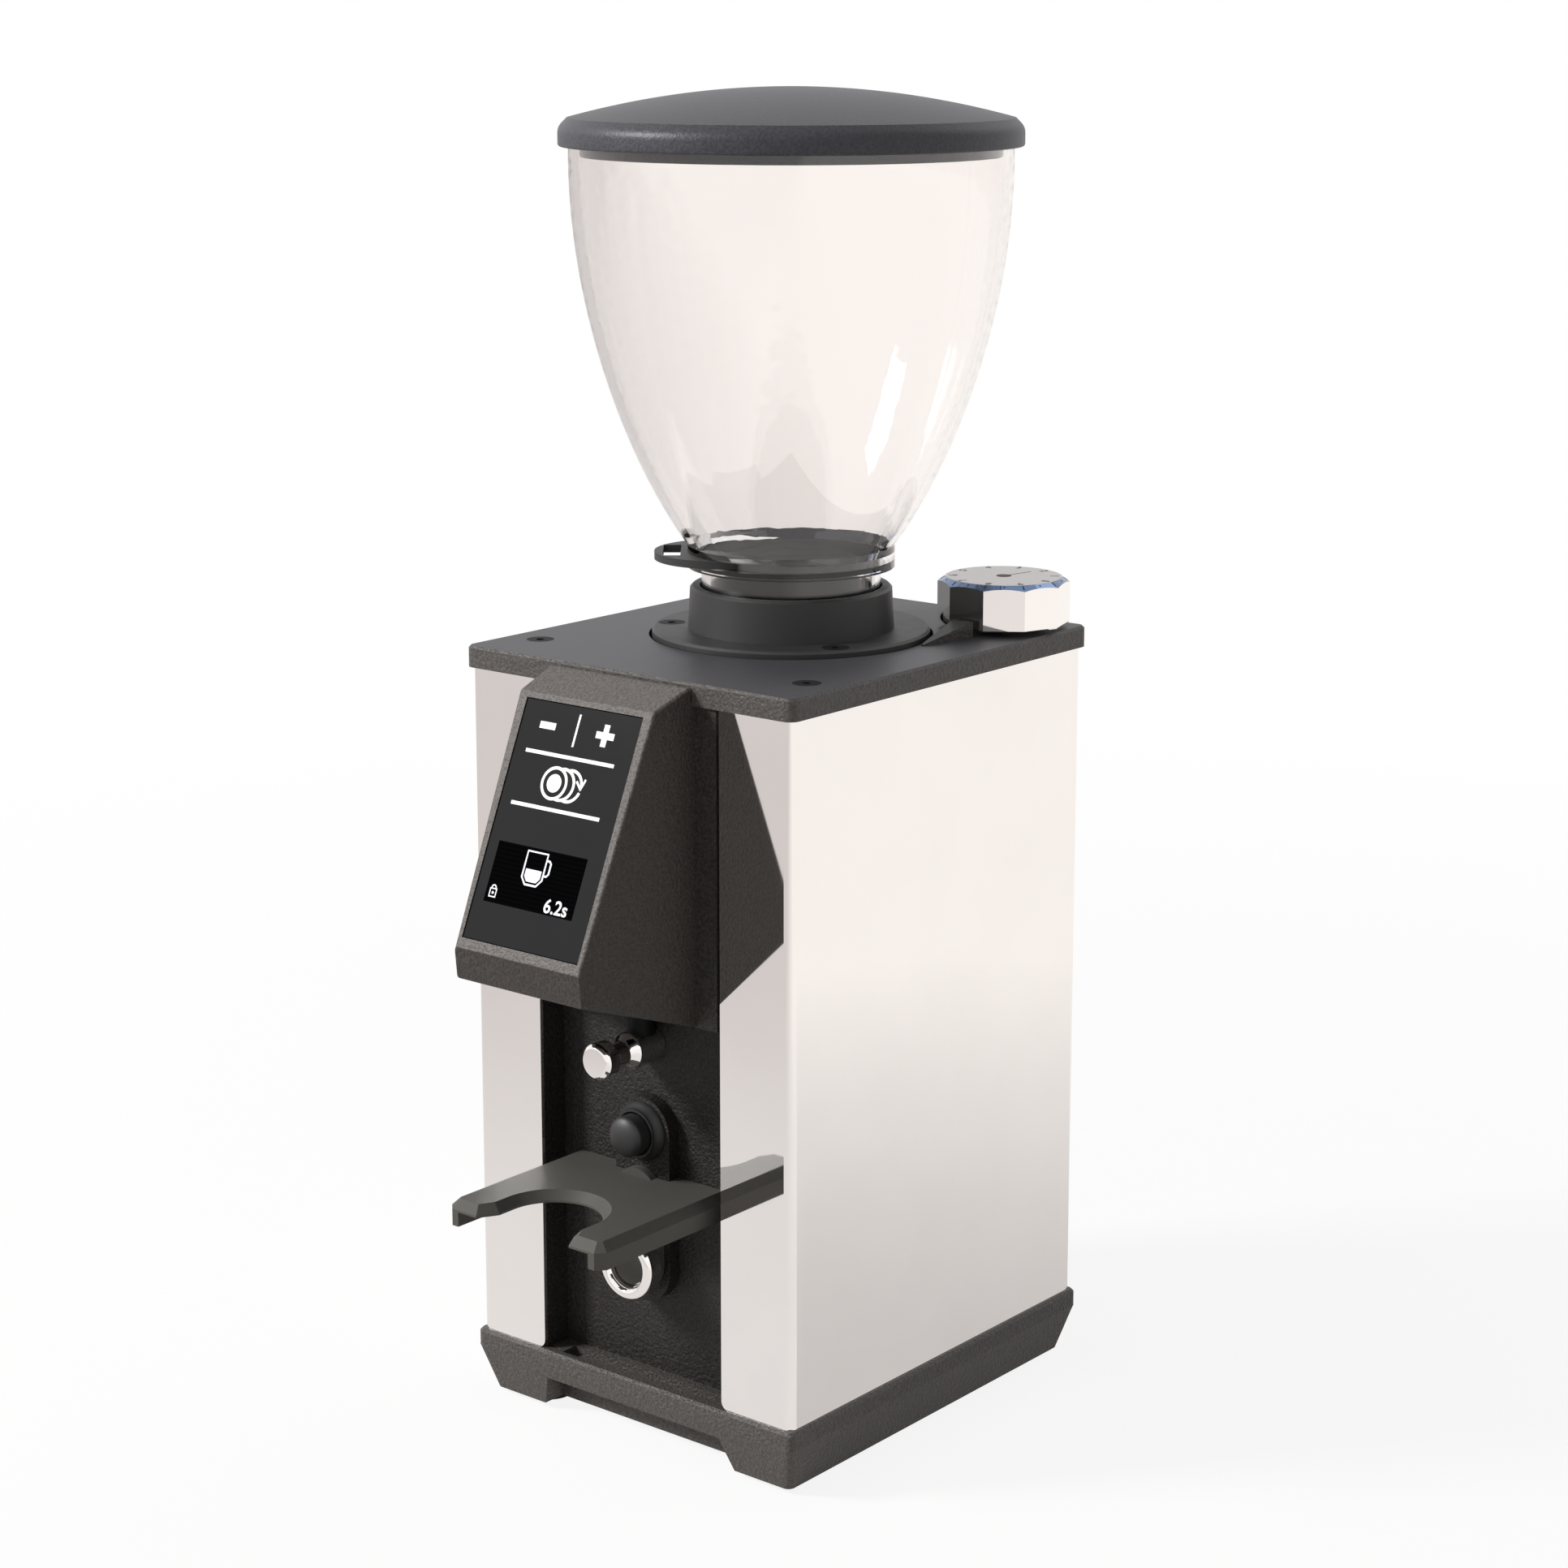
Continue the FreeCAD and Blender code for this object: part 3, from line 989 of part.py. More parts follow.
def make_burrs():
    """Grooved flat burrs: the upper on its holder under the collar, the lower on the turning carrier."""
    for name, low, cut_low in (("upper_burr", "upper_burr_z", "upper_burr_z - burr_cut"),
                               ("lower_burr", "lower_burr_z", "lower_burr_z + burr_tall - burr_cut")):
        blank = cut(name + "_blank", on_axis(name + "_disc", "burr_radius", "burr_tall", low),
                    on_axis(name + "_eye", "burr_eye", "3 * burr_tall", f"{low} - burr_tall"))
        teeth = round(num("burr_teeth"))
        grooves = []
        for i in range(teeth):
            groove = box(f"{name}_groove_{i}", ("2 * burr_radius", "burr_groove", "2 * burr_cut"),
                         ("0", "axis_y", cut_low))
            groove.Placement = FreeCAD.Placement(V(), FreeCAD.Rotation(V(0, 0, 1), 360 * i / teeth))
            place(groove, ("0", "axis_y", cut_low))
            grooves.append(groove)
        node(name, cut(name, blank, *grooves))
    ring = on_axis("holder_ring", "burr_radius", "seat_z - holder_z", "holder_z")
    eye = on_axis("holder_eye", "burr_eye", "3 * burr_tall + flange_thick", "holder_z - burr_tall")
    node("burr_holder", cut("burr_holder", ring, eye))


def make_spinning_set():
    """Drive shaft, rotor core, burr carrier with sweepers, and the feed cone on the shaft's end."""
    shaft_low = "lower_bracket_z + bracket_tall - bearing_tall"
    node("drive_shaft",
         on_axis("drive_shaft", "shaft_radius", f"lower_burr_z - ({shaft_low})", shaft_low))
    node("rotor_core", cut("rotor_core", on_axis("rotor_bar", "rotor_radius", "stator_tall", "stator_z"),
                           on_axis("rotor_bore", "shaft_radius", "3 * stator_tall",
                                   "stator_z - stator_tall")))
    disc = on_axis("carrier_disc", "carrier_radius", "carrier_tall", "carrier_z")
    arms = box("carrier_arms",
               ("2 * (chamber_bore - side_gap * 3)", "sweeper_wide", "carrier_tall - sweeper_wide"),
               ("-(chamber_bore - side_gap * 3)", "axis_y - sweeper_wide / 2", "carrier_z"))
    bore = on_axis("carrier_bore", "shaft_radius", "3 * carrier_tall", "carrier_z - carrier_tall")
    node("burr_carrier", cut("burr_carrier", fuse("carrier_whole", disc, arms), bore))
    node("feed_cone",
         cone("feed_cone", "cone_radius", "shaft_radius", "cone_tall", ("0", "axis_y", "lower_burr_z")))


def make_motor():
    """Motor: can and stator with end windings between two cast brackets that hold the bearings."""
    tall = "upper_bracket_z - can_z"
    node("motor_can", cut("motor_can", on_axis("can_bar", "can_radius", tall, "can_z"),
                          on_axis("can_bore", "can_radius - can_wall", f"3 * ({tall})",
                                  f"can_z - ({tall})")))
    node("stator_core",
         cut("stator_core", on_axis("stator_bar", "can_radius - can_wall", "stator_tall", "stator_z"),
                            on_axis("stator_eye", "stator_bore", "3 * stator_tall",
                                    "stator_z - stator_tall")))
    coils = []
    for i, low in enumerate(("stator_z - coil_tall", "stator_z + stator_tall")):
        bar = on_axis(f"coil_bar_{i}", "coil_outer", "coil_tall", low)
        coils.append(cut(f"coil_{i}", bar,
                         on_axis(f"coil_eye_{i}", "coil_inner", "3 * coil_tall", f"{low} - coil_tall")))
    node("windings", group("windings", coils))
    lower = on_axis("lower_bracket_bar", "can_radius", "bracket_tall", "lower_bracket_z")
    lower_seat = on_axis("lower_seat", "bearing_radius", "bracket_tall", "can_z - bearing_tall")
    node("motor_lower_bracket", cut("motor_lower_bracket", lower, lower_seat))
    bolt_places = circle_places(4, "bolt_ring", 45)
    upper = on_axis("upper_bracket_bar", "can_radius", "bracket_tall", "upper_bracket_z")
    upper_seat = on_axis("upper_seat", "bearing_radius", "2 * bearing_tall",
                         "upper_bracket_z - bearing_tall")
    upper_eye = on_axis("upper_eye", "shaft_radius + side_gap", "3 * bracket_tall",
                        "upper_bracket_z - bracket_tall")
    upper_holes = [cyl(f"bracket_hole_{i}", "bolt_radius", "3 * bracket_tall",
                       (x, y, "upper_bracket_z - bracket_tall"))
                   for i, (x, y) in enumerate(bolt_places)]
    node("motor_upper_bracket", cut("motor_upper_bracket", upper, upper_seat, upper_eye, *upper_holes))
    bolts = []
    for i, (x, y) in enumerate(bolt_places):
        head = cyl(f"bolt_head_{i}", "bolt_head", "bolt_head_tall",
                   (x, y, "upper_bracket_z - bolt_head_tall"))
        shank = cyl(f"bolt_shank_{i}", "bolt_radius", "bracket_tall + 2 * bolt_head_tall",
                    (x, y, "upper_bracket_z"))
        bolts.append(fuse(f"bolt_{i}", head, shank))
    node("bracket_screws", group("bracket_screws", bolts))
    bearings = []
    for i, low in enumerate(("can_z - bearing_tall", "upper_bracket_z")):
        ring = on_axis(f"bearing_ring_{i}", "bearing_radius", "bearing_tall", low)
        bore = on_axis(f"bearing_bore_{i}", "shaft_radius + run_gap / 2", "3 * bearing_tall",
                       f"{low} - bearing_tall")
        bearings.append(cut(f"bearing_{i}", ring, bore))
    node("bearings", group("bearings", bearings))
    mounts = [cyl(f"mount_{i}", "mount_radius", "mount_tall", (x, y, "case_z"))
              for i, (x, y) in enumerate(circle_places(4, "mount_place", 45))]
    node("motor_mounts", group("motor_mounts", mounts))


def head_profile(inset):
    """Side outline of the head, (distance along Y, height), drawn in by a wall."""
    return [("-(front_y + side_gap)", f"head_low_z + {inset}"),
            ("-(front_y + side_gap)", f"head_high_z - {inset}"),
            ("-brow_y", f"head_high_z - {inset}"),
            (f"-(face_top_y - {inset})", f"face_top_z - {inset} / 2"),
            (f"-(face_low_y - 1.2 * {inset})", "face_low_z"),
            (f"-(face_low_y - 1.2 * {inset} - side_gap * 3)", f"face_low_z - chin_tall + {inset}"),
            ("-case_back", f"head_low_z + {inset}")]


def make_head():
    """Moulded head: slanted face with the panel's seat, sides drawn in to the front, hollow behind."""
    body = new_body("head_body")
    pad(body, sketch(body, "YZ_Plane", head_profile("0")), "2 * head_half", both_ways=True)
    front = "face_low_y + head_wall"
    for side in ("", "-"):
        wedge = [(f"{side}head_half", "-case_back"), (f"{side}2 * head_half", "-case_back"),
                 (f"{side}2 * head_half", f"-({front})"),
                 (f"{side}head_front_half", f"-({front})")]
        pocket(body, sketch(body, "XY_Plane", wedge), flip=True)
    dress(body, "Fillet", "head_round",
          lambda e: e.BoundBox.YMax < -num("case_back") + 0.1
          and e.BoundBox.XLength + e.BoundBox.YLength > 3)
    pocket(body, sketch(body, "YZ_Plane", head_profile("head_wall")), "2 * (head_front_half - head_wall)",
           both_ways=True)
    flange = block("head_flange_plate", "head_flange", "case_back - head_flange_thick", "case_back",
                   "head_low_z", "top_z")
    room = block("head_back_room", "head_front_half - head_wall", "front_y - front_sheet",
                 "case_back + head_wall",
                 "head_low_z + head_wall", "top_z - head_wall")
    seat = panel_box("head_panel_seat", "panel_half + panel_gap", "panel_long + 2 * panel_gap",
                     "head_wall + panel_sink + panel_thick + board_thick",
                     "-panel_gap", "head_wall")
    outlet = block("head_outlet", "chute_half + side_gap", "chute_end - chute_tall - side_gap",
                   "chute_end + side_gap",
                   "head_low_z - head_wall", "head_low_z + 2 * chute_tall")
    brim = block("head_brim", "2 * head_half", "front_y - front_sheet", "plate_back + panel_gap", "top_z",
                 "head_high_z + head_wall")
    node("head_housing", cut("head_housing", fuse("head_whole", body, flange), room, seat, outlet, brim))


def panel_box(name, half, long, thick, start, proud):
    """A box lying on the slanted face: start is its distance down the face, proud its height above it."""
    obj = box(name, (f"2 * ({half})", thick, long), ("0", "0", "0"))
    obj.Placement = FreeCAD.Placement(V(), FreeCAD.Rotation(V(1, 0, 0), -num("face_tilt")))
    along = f"((face_long - panel_long) / 2 - panel_up + ({start}) + ({long}))"
    place(obj, (f"-({half})", f"-(face_top_y + {along} * sin(face_tilt) + ({proud}) * cos(face_tilt))",
                f"face_top_z - {along} * cos(face_tilt) + ({proud}) * sin(face_tilt)"))
    return obj


def make_touch_panel():
    """Glass touch panel in the head's face, and the display board behind it."""
    node("touch_panel",
         panel_box("touch_panel", "panel_half", "panel_long", "panel_thick", "0", "-panel_sink"))
    node("display_board", panel_box("display_board", "panel_half", "panel_long", "board_thick", "0",
                                    "-panel_sink - panel_thick"))


def make_chute():
    """Sloping square duct from the chamber's outlet to the underside of the head."""
    body = new_body("chute_body")
    back = "chamber_radius - axis_y"
    low = "case_z + chute_start"
    out = "case_z + chute_out"

    def profile(inset, over):
        return [(f"-({back} - {over})", f"{low} + {inset}"),
                (f"-({back} - {over})", f"{low} + chute_tall - {inset}"),
                (f"-({back} + chute_tall / 2)", f"{low} + chute_tall - {inset}"),
                (f"-(chute_end - {inset})", f"{out} + chute_tall"),
                (f"-(chute_end - {inset})", f"{out} - {over}"),
                (f"-(chute_end - chute_tall + {inset})", f"{out} - {over}"),
                (f"-(chute_end - chute_tall + {inset})", f"{out} + chute_tall / 2")]
    pad(body, sketch(body, "YZ_Plane", profile("0", "0")), "2 * chute_half", both_ways=True)
    pocket(body, sketch(body, "YZ_Plane", profile("chute_wall", "chute_wall")),
           "2 * (chute_half - chute_wall)", both_ways=True)
    drum = on_axis("chute_drum", "chamber_radius + run_gap", "chute_tall * 3",
                   "case_z + chute_start - chute_tall")
    node("chute", cut("chute", body, drum))


def make_electrics():
    """Control board on pillars at the back wall, and the motor's capacitor standing on the base."""
    board_y = "back_in - pillar_long - board_thick"
    node("control_board", box("control_board", ("ctrl_wide", "board_thick", "ctrl_tall"),
                              ("-ctrl_wide / 2 - pillar_long", board_y, "ctrl_z - ctrl_tall / 2")))
    pillars = [cyl(f"pillar_{i}", "pillar_radius", "pillar_long",
                   (f"{side} * (ctrl_wide / 2 - 2 * pillar_radius) - pillar_long",
                    "back_in - pillar_long",
                    f"ctrl_z + {level} * (ctrl_tall / 2 - 2 * pillar_radius)"), "+Y")
               for i, (side, level) in enumerate(REAR_SCREWS)]
    node("board_pillars", group("board_pillars", pillars))
    node("capacitor",
         cyl("capacitor", "cap_radius", "cap_tall", ("-cap_x", "-(plate_inner_y - cap_front)", "case_z")))


for maker in (make_base, make_base_feet, make_corner_posts, make_base_screws, make_case, make_rear_panel,
              make_rear_screws, make_power_inlet, make_switch_rocker, make_rocker_frame, make_front_plate,
              make_guide_rail, make_button_bezel, make_start_button, make_button_spring,
              make_start_switch,
              make_hook, make_fork, make_lock, make_top_plate, make_collar, make_hopper, make_gate,
              make_lid,
              make_hopper_seal, make_dial, make_adjustment, make_chamber, make_burrs, make_spinning_set,
              make_motor, make_head, make_touch_panel, make_chute, make_electrics):
    maker()
doc.recompute()

for obj in doc.Objects:
    if "Invalid" in obj.State or "Error" in obj.State:
        raise RuntimeError(f"{obj.Name} failed: {obj.State}")
for name, obj in nodes.items():
    if obj.Shape.isNull() or not obj.Shape.isValid():
        raise RuntimeError(f"{name} has no valid shape")

os.makedirs("parts", exist_ok=True)
for name, obj in nodes.items():
    obj.Shape.exportStep(f"parts/{name}.step")
print(f"{len(nodes)} nodes written")
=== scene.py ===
import math

import bpy
import numpy as np
from bpy.props import FloatProperty, FloatVectorProperty, PointerProperty
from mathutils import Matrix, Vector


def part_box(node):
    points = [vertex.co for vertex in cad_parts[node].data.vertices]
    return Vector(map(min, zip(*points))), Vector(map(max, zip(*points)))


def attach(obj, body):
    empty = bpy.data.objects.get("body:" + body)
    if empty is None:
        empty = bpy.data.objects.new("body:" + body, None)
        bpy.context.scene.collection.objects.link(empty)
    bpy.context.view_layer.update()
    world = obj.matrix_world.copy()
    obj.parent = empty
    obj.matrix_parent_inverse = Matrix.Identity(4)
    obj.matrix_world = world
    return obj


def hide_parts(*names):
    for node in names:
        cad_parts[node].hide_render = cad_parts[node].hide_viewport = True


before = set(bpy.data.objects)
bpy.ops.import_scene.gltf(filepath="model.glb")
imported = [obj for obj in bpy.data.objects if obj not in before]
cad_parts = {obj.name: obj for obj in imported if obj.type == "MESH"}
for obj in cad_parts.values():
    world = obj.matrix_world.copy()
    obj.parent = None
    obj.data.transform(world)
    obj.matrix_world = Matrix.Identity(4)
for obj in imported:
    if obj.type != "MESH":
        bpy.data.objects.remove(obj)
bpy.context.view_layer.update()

bl_info = {
    "name": "Burr coffee grinder dressing",
    "version": (1, 0, 0),
    "blender": (4, 5, 0),
    "location": "3D View > Sidebar > Grinder",
    "description": "Gives the packed coffee grinder its smooth turned pieces, panel signs, finishes and studio",
    "category": "Object",
}

MM = 0.001
WHITE = (1.0, 1.0, 1.0, 1.0)

# Places of the pieces made here, in millimetres, and the panel's lean in degrees.
HOPPER_AXIS = (0.0, 4.4)
DIAL_AXIS = (41.0, 50.24)
BUTTON_PLACE = (0.0, -60.6, 91.0)
LOCK_PLACE = (0.0, -63.55, 53.4)
HOOK_PLACE = (0.0, -56.5, 115.4)
PANEL_TILT = 23.5


def linear(code):
    """Linear RGB of an sRGB hex colour."""
    share = np.array([int(code[i:i + 2], 16) for i in (1, 3, 5)]) / 255
    return tuple(np.where(share <= 0.04045, share / 12.92, ((share + 0.055) / 1.055) ** 2.4).tolist())


def scaled(base, share=1.0):
    """A linear colour with each channel scaled, as a socket takes it."""
    return (*(channel * share for channel in base), 1.0)


def paint(code):
    return scaled(linear(code))


def colour(name, code, words):
    return FloatVectorProperty(name=name, description=words, default=linear(code), subtype="COLOR",
                               min=0.0, max=1.0)


def length(name, millimetres, words):
    return FloatProperty(name=name, description=words, default=millimetres * MM, unit="LENGTH", min=0.0)


class GrinderSizes(bpy.types.PropertyGroup):
    """Sizes of the dressed pieces."""
    grain: length("Grain", 0.8, "Width of one grain of the moulded surface")
    ink: length("Ink", 0.06, "Thickness of the printed signs")
    dial_disc: length("Dial disc", 16.5, "Radius of the satin disc on the dial knob")
    digit: length("Digit", 2.6, "Height of the digits on the dial knob")
    floor: length("Floor", 80000.0, "Side of the studio floor")


class GrinderColours(bpy.types.PropertyGroup):
    """Colours of the dressed pieces."""
    chrome: colour("Chrome", "#FAF7F5", "Polished plating of the case and knobs")
    grained: colour("Grained plastic", "#4A4643", "Moulded base, rear panel and edge of the top plate")
    top: colour("Top plate", "#3A393D", "Smooth upper face of the top plate")
    # The housing tone is the head's plastic set darker as painted shade on its sides; the bevel tone is paler as
    # painted highlight on its sloped faces.
    housing: colour("Housing plastic with painted shade", "#3C3835", "Sides of the moulded head, darker as painted shade")
    bevel: colour("Bevel plastic with painted highlight", "#625D59", "Sloped faces of the moulded head, paler as painted highlight")
    # The front tone is the plate's dark plastic, darkened further as painted shade for the head's shadow on the
    # plate.
    front: colour("Front plastic with painted shade", "#2B2826", "Moulded front plate and guide rail")
    satin: colour("Satin plastic", "#232222", "Collar, gate, button and inlet")
    lid: colour("Lid", "#37373D", "Hopper lid")
    glass: colour("Panel glass", "#08080A", "Glass of the touch panel")
    fork: colour("Fork", "#52504C", "Anodised fork")
    floor: colour("Floor", "#F4F3F2", "Studio floor")


def sizes():
    return bpy.context.scene.grinder_sizes


def colours():
    return bpy.context.scene.grinder_colours


def rounded(corners, radii, steps=6):
    """The corner list with each corner of a radius above zero replaced by a curve.

    A curve is the quadratic (1-t)^2 A + 2t(1-t) B + t^2 C between the points A and C that lie a radius away
    from the corner B on its two sides.
    """
    corners = np.asarray(corners, float)
    share = np.linspace(0.0, 1.0, steps)[:, None]
    rows = []
    for i, radius in enumerate(radii):
        here = corners[i]
        if radius == 0:
            rows.append(here[None])
            continue
        back = corners[i - 1] - here
        ahead = corners[(i + 1) % len(corners)] - here
        start = here + back / np.linalg.norm(back) * radius
        end = here + ahead / np.linalg.norm(ahead) * radius
        rows.append((1 - share) ** 2 * start + 2 * share * (1 - share) * here + share ** 2 * end)
    return np.concatenate(rows)


def turned(profile, turns=144, closed=False):
    """Surface of revolution: the point (r cos a, r sin a, h) for each (r, h) of the profile and each angle a.

    The profile runs outwards along the underside, up the outside and back in over the top. A row of radius
    zero is one shared point.
    """
    profile = np.asarray(profile, float)
    angle = np.linspace(0.0, 2 * np.pi, turns, endpoint=False)
    radius, height = profile[:, :1], profile[:, 1:]
    points = np.stack([radius * np.cos(angle), radius * np.sin(angle), height + 0 * angle], axis=-1)
    index = np.arange(points[..., 0].size).reshape(points.shape[:2])
    index[profile[:, 0] == 0] = index[profile[:, 0] == 0][:, :1]
    return points.reshape(-1, 3), grid_faces(index, closed)


def grid_faces(index, closed):
    """Quads of a grid that closes on itself along its second axis; a quad with a shared point is a triangle."""
    low = index if closed else index[:-1]
    high = np.roll(index, -1, axis=0) if closed else index[1:]
    quads = np.stack([low, np.roll(low, -1, axis=1), np.roll(high, -1, axis=1), high], axis=-1).reshape(-1, 4)
    foot = quads[:, 0] == quads[:, 1]
    head = quads[:, 2] == quads[:, 3]
    whole = quads[~foot & ~head].tolist()
    return whole + quads[foot & ~head][:, [0, 2, 3]].tolist() + quads[head & ~foot][:, [0, 1, 2]].tolist()


def ribbon(path, width, thick, closed=False):
    """A flat bar of rectangular section carried along a path of (across, up) points.

    At each point the section stands square to the path's direction, which is the central difference of its
    neighbours; the bar's low face is at zero.
    """
    path = np.asarray(path, float)
    ahead = np.roll(path, -1, axis=0) - np.roll(path, 1, axis=0)
    if not closed:
        ahead[0] = path[1] - path[0]
        ahead[-1] = path[-1] - path[-2]
    ahead /= np.linalg.norm(ahead, axis=1, keepdims=True)
    left = np.stack([-ahead[:, 1], ahead[:, 0]], axis=1) * width / 2
    sides = np.stack([path + left, path - left, path - left, path + left], axis=1)
    level = np.broadcast_to(np.array([thick, thick, 0.0, 0.0])[:, None], (len(path), 4, 1))
    points = np.concatenate([sides, level], axis=2)
    index = np.arange(4 * len(path)).reshape(-1, 4)
    faces = grid_faces(index, closed)
    if not closed:
        faces += [index[0][::-1].tolist(), index[-1].tolist()]
    return points.reshape(-1, 3), faces


def plate(outline, thick):
    """A flat plate: an outline of (across, up) points, anticlockwise, raised by its thickness."""
    outline = np.asarray(outline, float)
    count = len(outline)
    low = np.column_stack([outline, np.zeros(count)])
    high = low + (0.0, 0.0, thick)
    ring = np.arange(count)
    after = np.roll(ring, -1)
    sides = np.stack([ring, after, after + count, ring + count], axis=1).tolist()
    return np.concatenate([low, high]), sides + [ring[::-1].tolist(), (ring + count).tolist()]


def bar(left, right, low, high, thick):
    """A rectangular plate between two sides and two levels."""
    return plate([(left, low), (right, low), (right, high), (left, high)], thick)


def arc(centre, radius, start, end, count=33):
    """Points (cx + r cos a, cy + r sin a) for angles between two values in degrees."""
    angle = np.radians(np.linspace(start, end, count))
    return np.stack([centre[0] + radius * np.cos(angle), centre[1] + radius * np.sin(angle)], axis=1)


def circle(centre, radius, count=48):
    return arc(centre, radius, 0.0, 360.0, count + 1)[:-1]


def characters(text, tall, thick, bold=0.0):
    """Raised characters about their own middle, tall being the height of a digit, as points and faces."""
    curve = bpy.data.curves.new("characters", "FONT")
    curve.body = text
    curve.size = tall / 0.7
    curve.extrude = thick / 2
    curve.offset = bold
    curve.align_x = "CENTER"
    curve.resolution_u = 4
    holder = bpy.data.objects.new("characters", curve)
    bpy.context.scene.collection.objects.link(holder)
    mesh = bpy.data.meshes.new_from_object(holder.evaluated_get(bpy.context.evaluated_depsgraph_get()))
    points = np.empty(3 * len(mesh.vertices))
    mesh.vertices.foreach_get("co", points)
    faces = [list(face.vertices) for face in mesh.polygons]
    bpy.data.objects.remove(holder)
    bpy.data.curves.remove(curve)
    bpy.data.meshes.remove(mesh)
    return points.reshape(-1, 3) + (0.0, -tall / 2, thick / 2), faces


def shifted(shape, offset):
    """The shape moved by an offset."""
    return shape[0] + np.asarray(offset, float), shape[1]


def spun(shape, degrees):
    """The shape turned about Z."""
    c, s = math.cos(math.radians(degrees)), math.sin(math.radians(degrees))
    return shape[0] @ np.array([[c, s, 0.0], [-s, c, 0.0], [0.0, 0.0, 1.0]]), shape[1]


def to_front(shape, place):
    """A shape turned about Z laid so that its height points to the front, at a place in millimetres."""
    x, y, z = shape[0].T
    return np.stack([x, -z, y], axis=1) + np.asarray(place, float), shape[1]


def upright(shape, axis):
    """The shape moved so that it stands about an upright axis."""
    return shifted(shape, (*axis, 0.0))


def show(name, shapes, finish, body, stands_for=(), crease=30.0):
    """One object from shapes in millimetres, with its finish, body and the nodes it stands for."""
    points, faces, start = [], [], 0
    for shape_points, shape_faces in shapes:
        points.append(shape_points)
        faces += [[corner + start for corner in face] for face in shape_faces]
        start += len(shape_points)
    points = np.concatenate(points) * MM
    used = np.unique(np.concatenate([np.asarray(face) for face in faces]))
    renumber = np.zeros(len(points), int)
    renumber[used] = np.arange(len(used))
    mesh = bpy.data.meshes.new(name)
    mesh.from_pydata(points[used].tolist(), [], [renumber[face].tolist() for face in faces])
    if mesh.validate():
        raise RuntimeError(f"{name} has faults in its mesh")
    mesh.polygons.foreach_set("use_smooth", np.ones(len(mesh.polygons), bool))
    mesh.set_sharp_from_angle(angle=math.radians(crease))
    mesh.materials.append(finish)
    piece = bpy.data.objects.new(name, mesh)
    bpy.context.scene.collection.objects.link(piece)
    if stands_for:
        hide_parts(*stands_for)
    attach(piece, body)
    return piece


def add(tree, kind, inputs=None, **settings):
    """Adds one node: its own settings, and its sockets, each given a value or another node's output."""
    made = tree.nodes.new(kind)
    for key, value in settings.items():
        setattr(made, key, value)
    for key, value in (inputs or {}).items():
        if isinstance(value, bpy.types.NodeSocket):
            tree.links.new(value, made.inputs[key])
        else:
            made.inputs[key].default_value = value
    return made


def start_finish(name):
    """A new material with an empty tree, or the one already made."""
    finish = bpy.data.materials.get(name) or bpy.data.materials.new(name)
    finish.use_nodes = True
    finish.node_tree.nodes.clear()
    return finish, finish.node_tree, add(finish.node_tree, "ShaderNodeTexCoord").outputs["Object"]


def end_finish(finish, inputs):
    """Puts the finished inputs on a Principled shader and joins it to the output."""
    tree = finish.node_tree
    surface = add(tree, "ShaderNodeBsdfPrincipled", inputs)
    add(tree, "ShaderNodeOutputMaterial", {"Surface": surface.outputs["BSDF"]})
    return finish


def noise_scale(millimetres):
    """Noise scale that gives features of a size in millimetres."""
    return 1.0 / (millimetres * MM)


def polished_chrome():
    # Polished plating: a mirror whose sharpness varies a little where it was buffed and touched.
    finish, tree, where = start_finish("polished chrome plate")
    haze = add(tree, "ShaderNodeTexNoise", {"Vector": where, "Scale": noise_scale(25.0), "Detail": 4.0})
    rough = add(tree, "ShaderNodeMapRange", {"Value": haze.outputs["Fac"], "To Min": 0.015, "To Max": 0.06})
    tone = add(tree, "ShaderNodeMixRGB", {"Fac": haze.outputs["Fac"], "Color1": scaled(colours().chrome),
                                          "Color2": paint("#F3F0EE")})
    return end_finish(finish, {"Base Color": tone.outputs["Color"], "Metallic": 1.0,
                               "Roughness": rough.outputs["Result"]})


def edged_chrome():
    # The dial's plating: a bright mirror on its sides; the sloped edge, picked out by its upward normal, is
    # tinted a cool blue as a painted reflection.
    finish, tree, where = start_finish("chrome plate with a painted blue reflection on its edge")
    haze = add(tree, "ShaderNodeTexNoise", {"Vector": where, "Scale": noise_scale(25.0), "Detail": 4.0})
    rough = add(tree, "ShaderNodeMapRange", {"Value": haze.outputs["Fac"], "To Min": 0.02, "To Max": 0.08})
    normal = add(tree, "ShaderNodeNewGeometry").outputs["True Normal"]
    facing = add(tree, "ShaderNodeSeparateXYZ", {"Vector": normal})
    edge = add(tree, "ShaderNodeMapRange", {"Value": facing.outputs["Z"], "From Min": 0.5, "From Max": 0.8})
    tone = add(tree, "ShaderNodeMixRGB", {"Fac": edge.outputs["Result"], "Color1": scaled(colours().chrome),
                                          "Color2": paint("#6C7F9F")})
    return end_finish(finish, {"Base Color": tone.outputs["Color"], "Metallic": 1.0,
                               "Roughness": rough.outputs["Result"]})


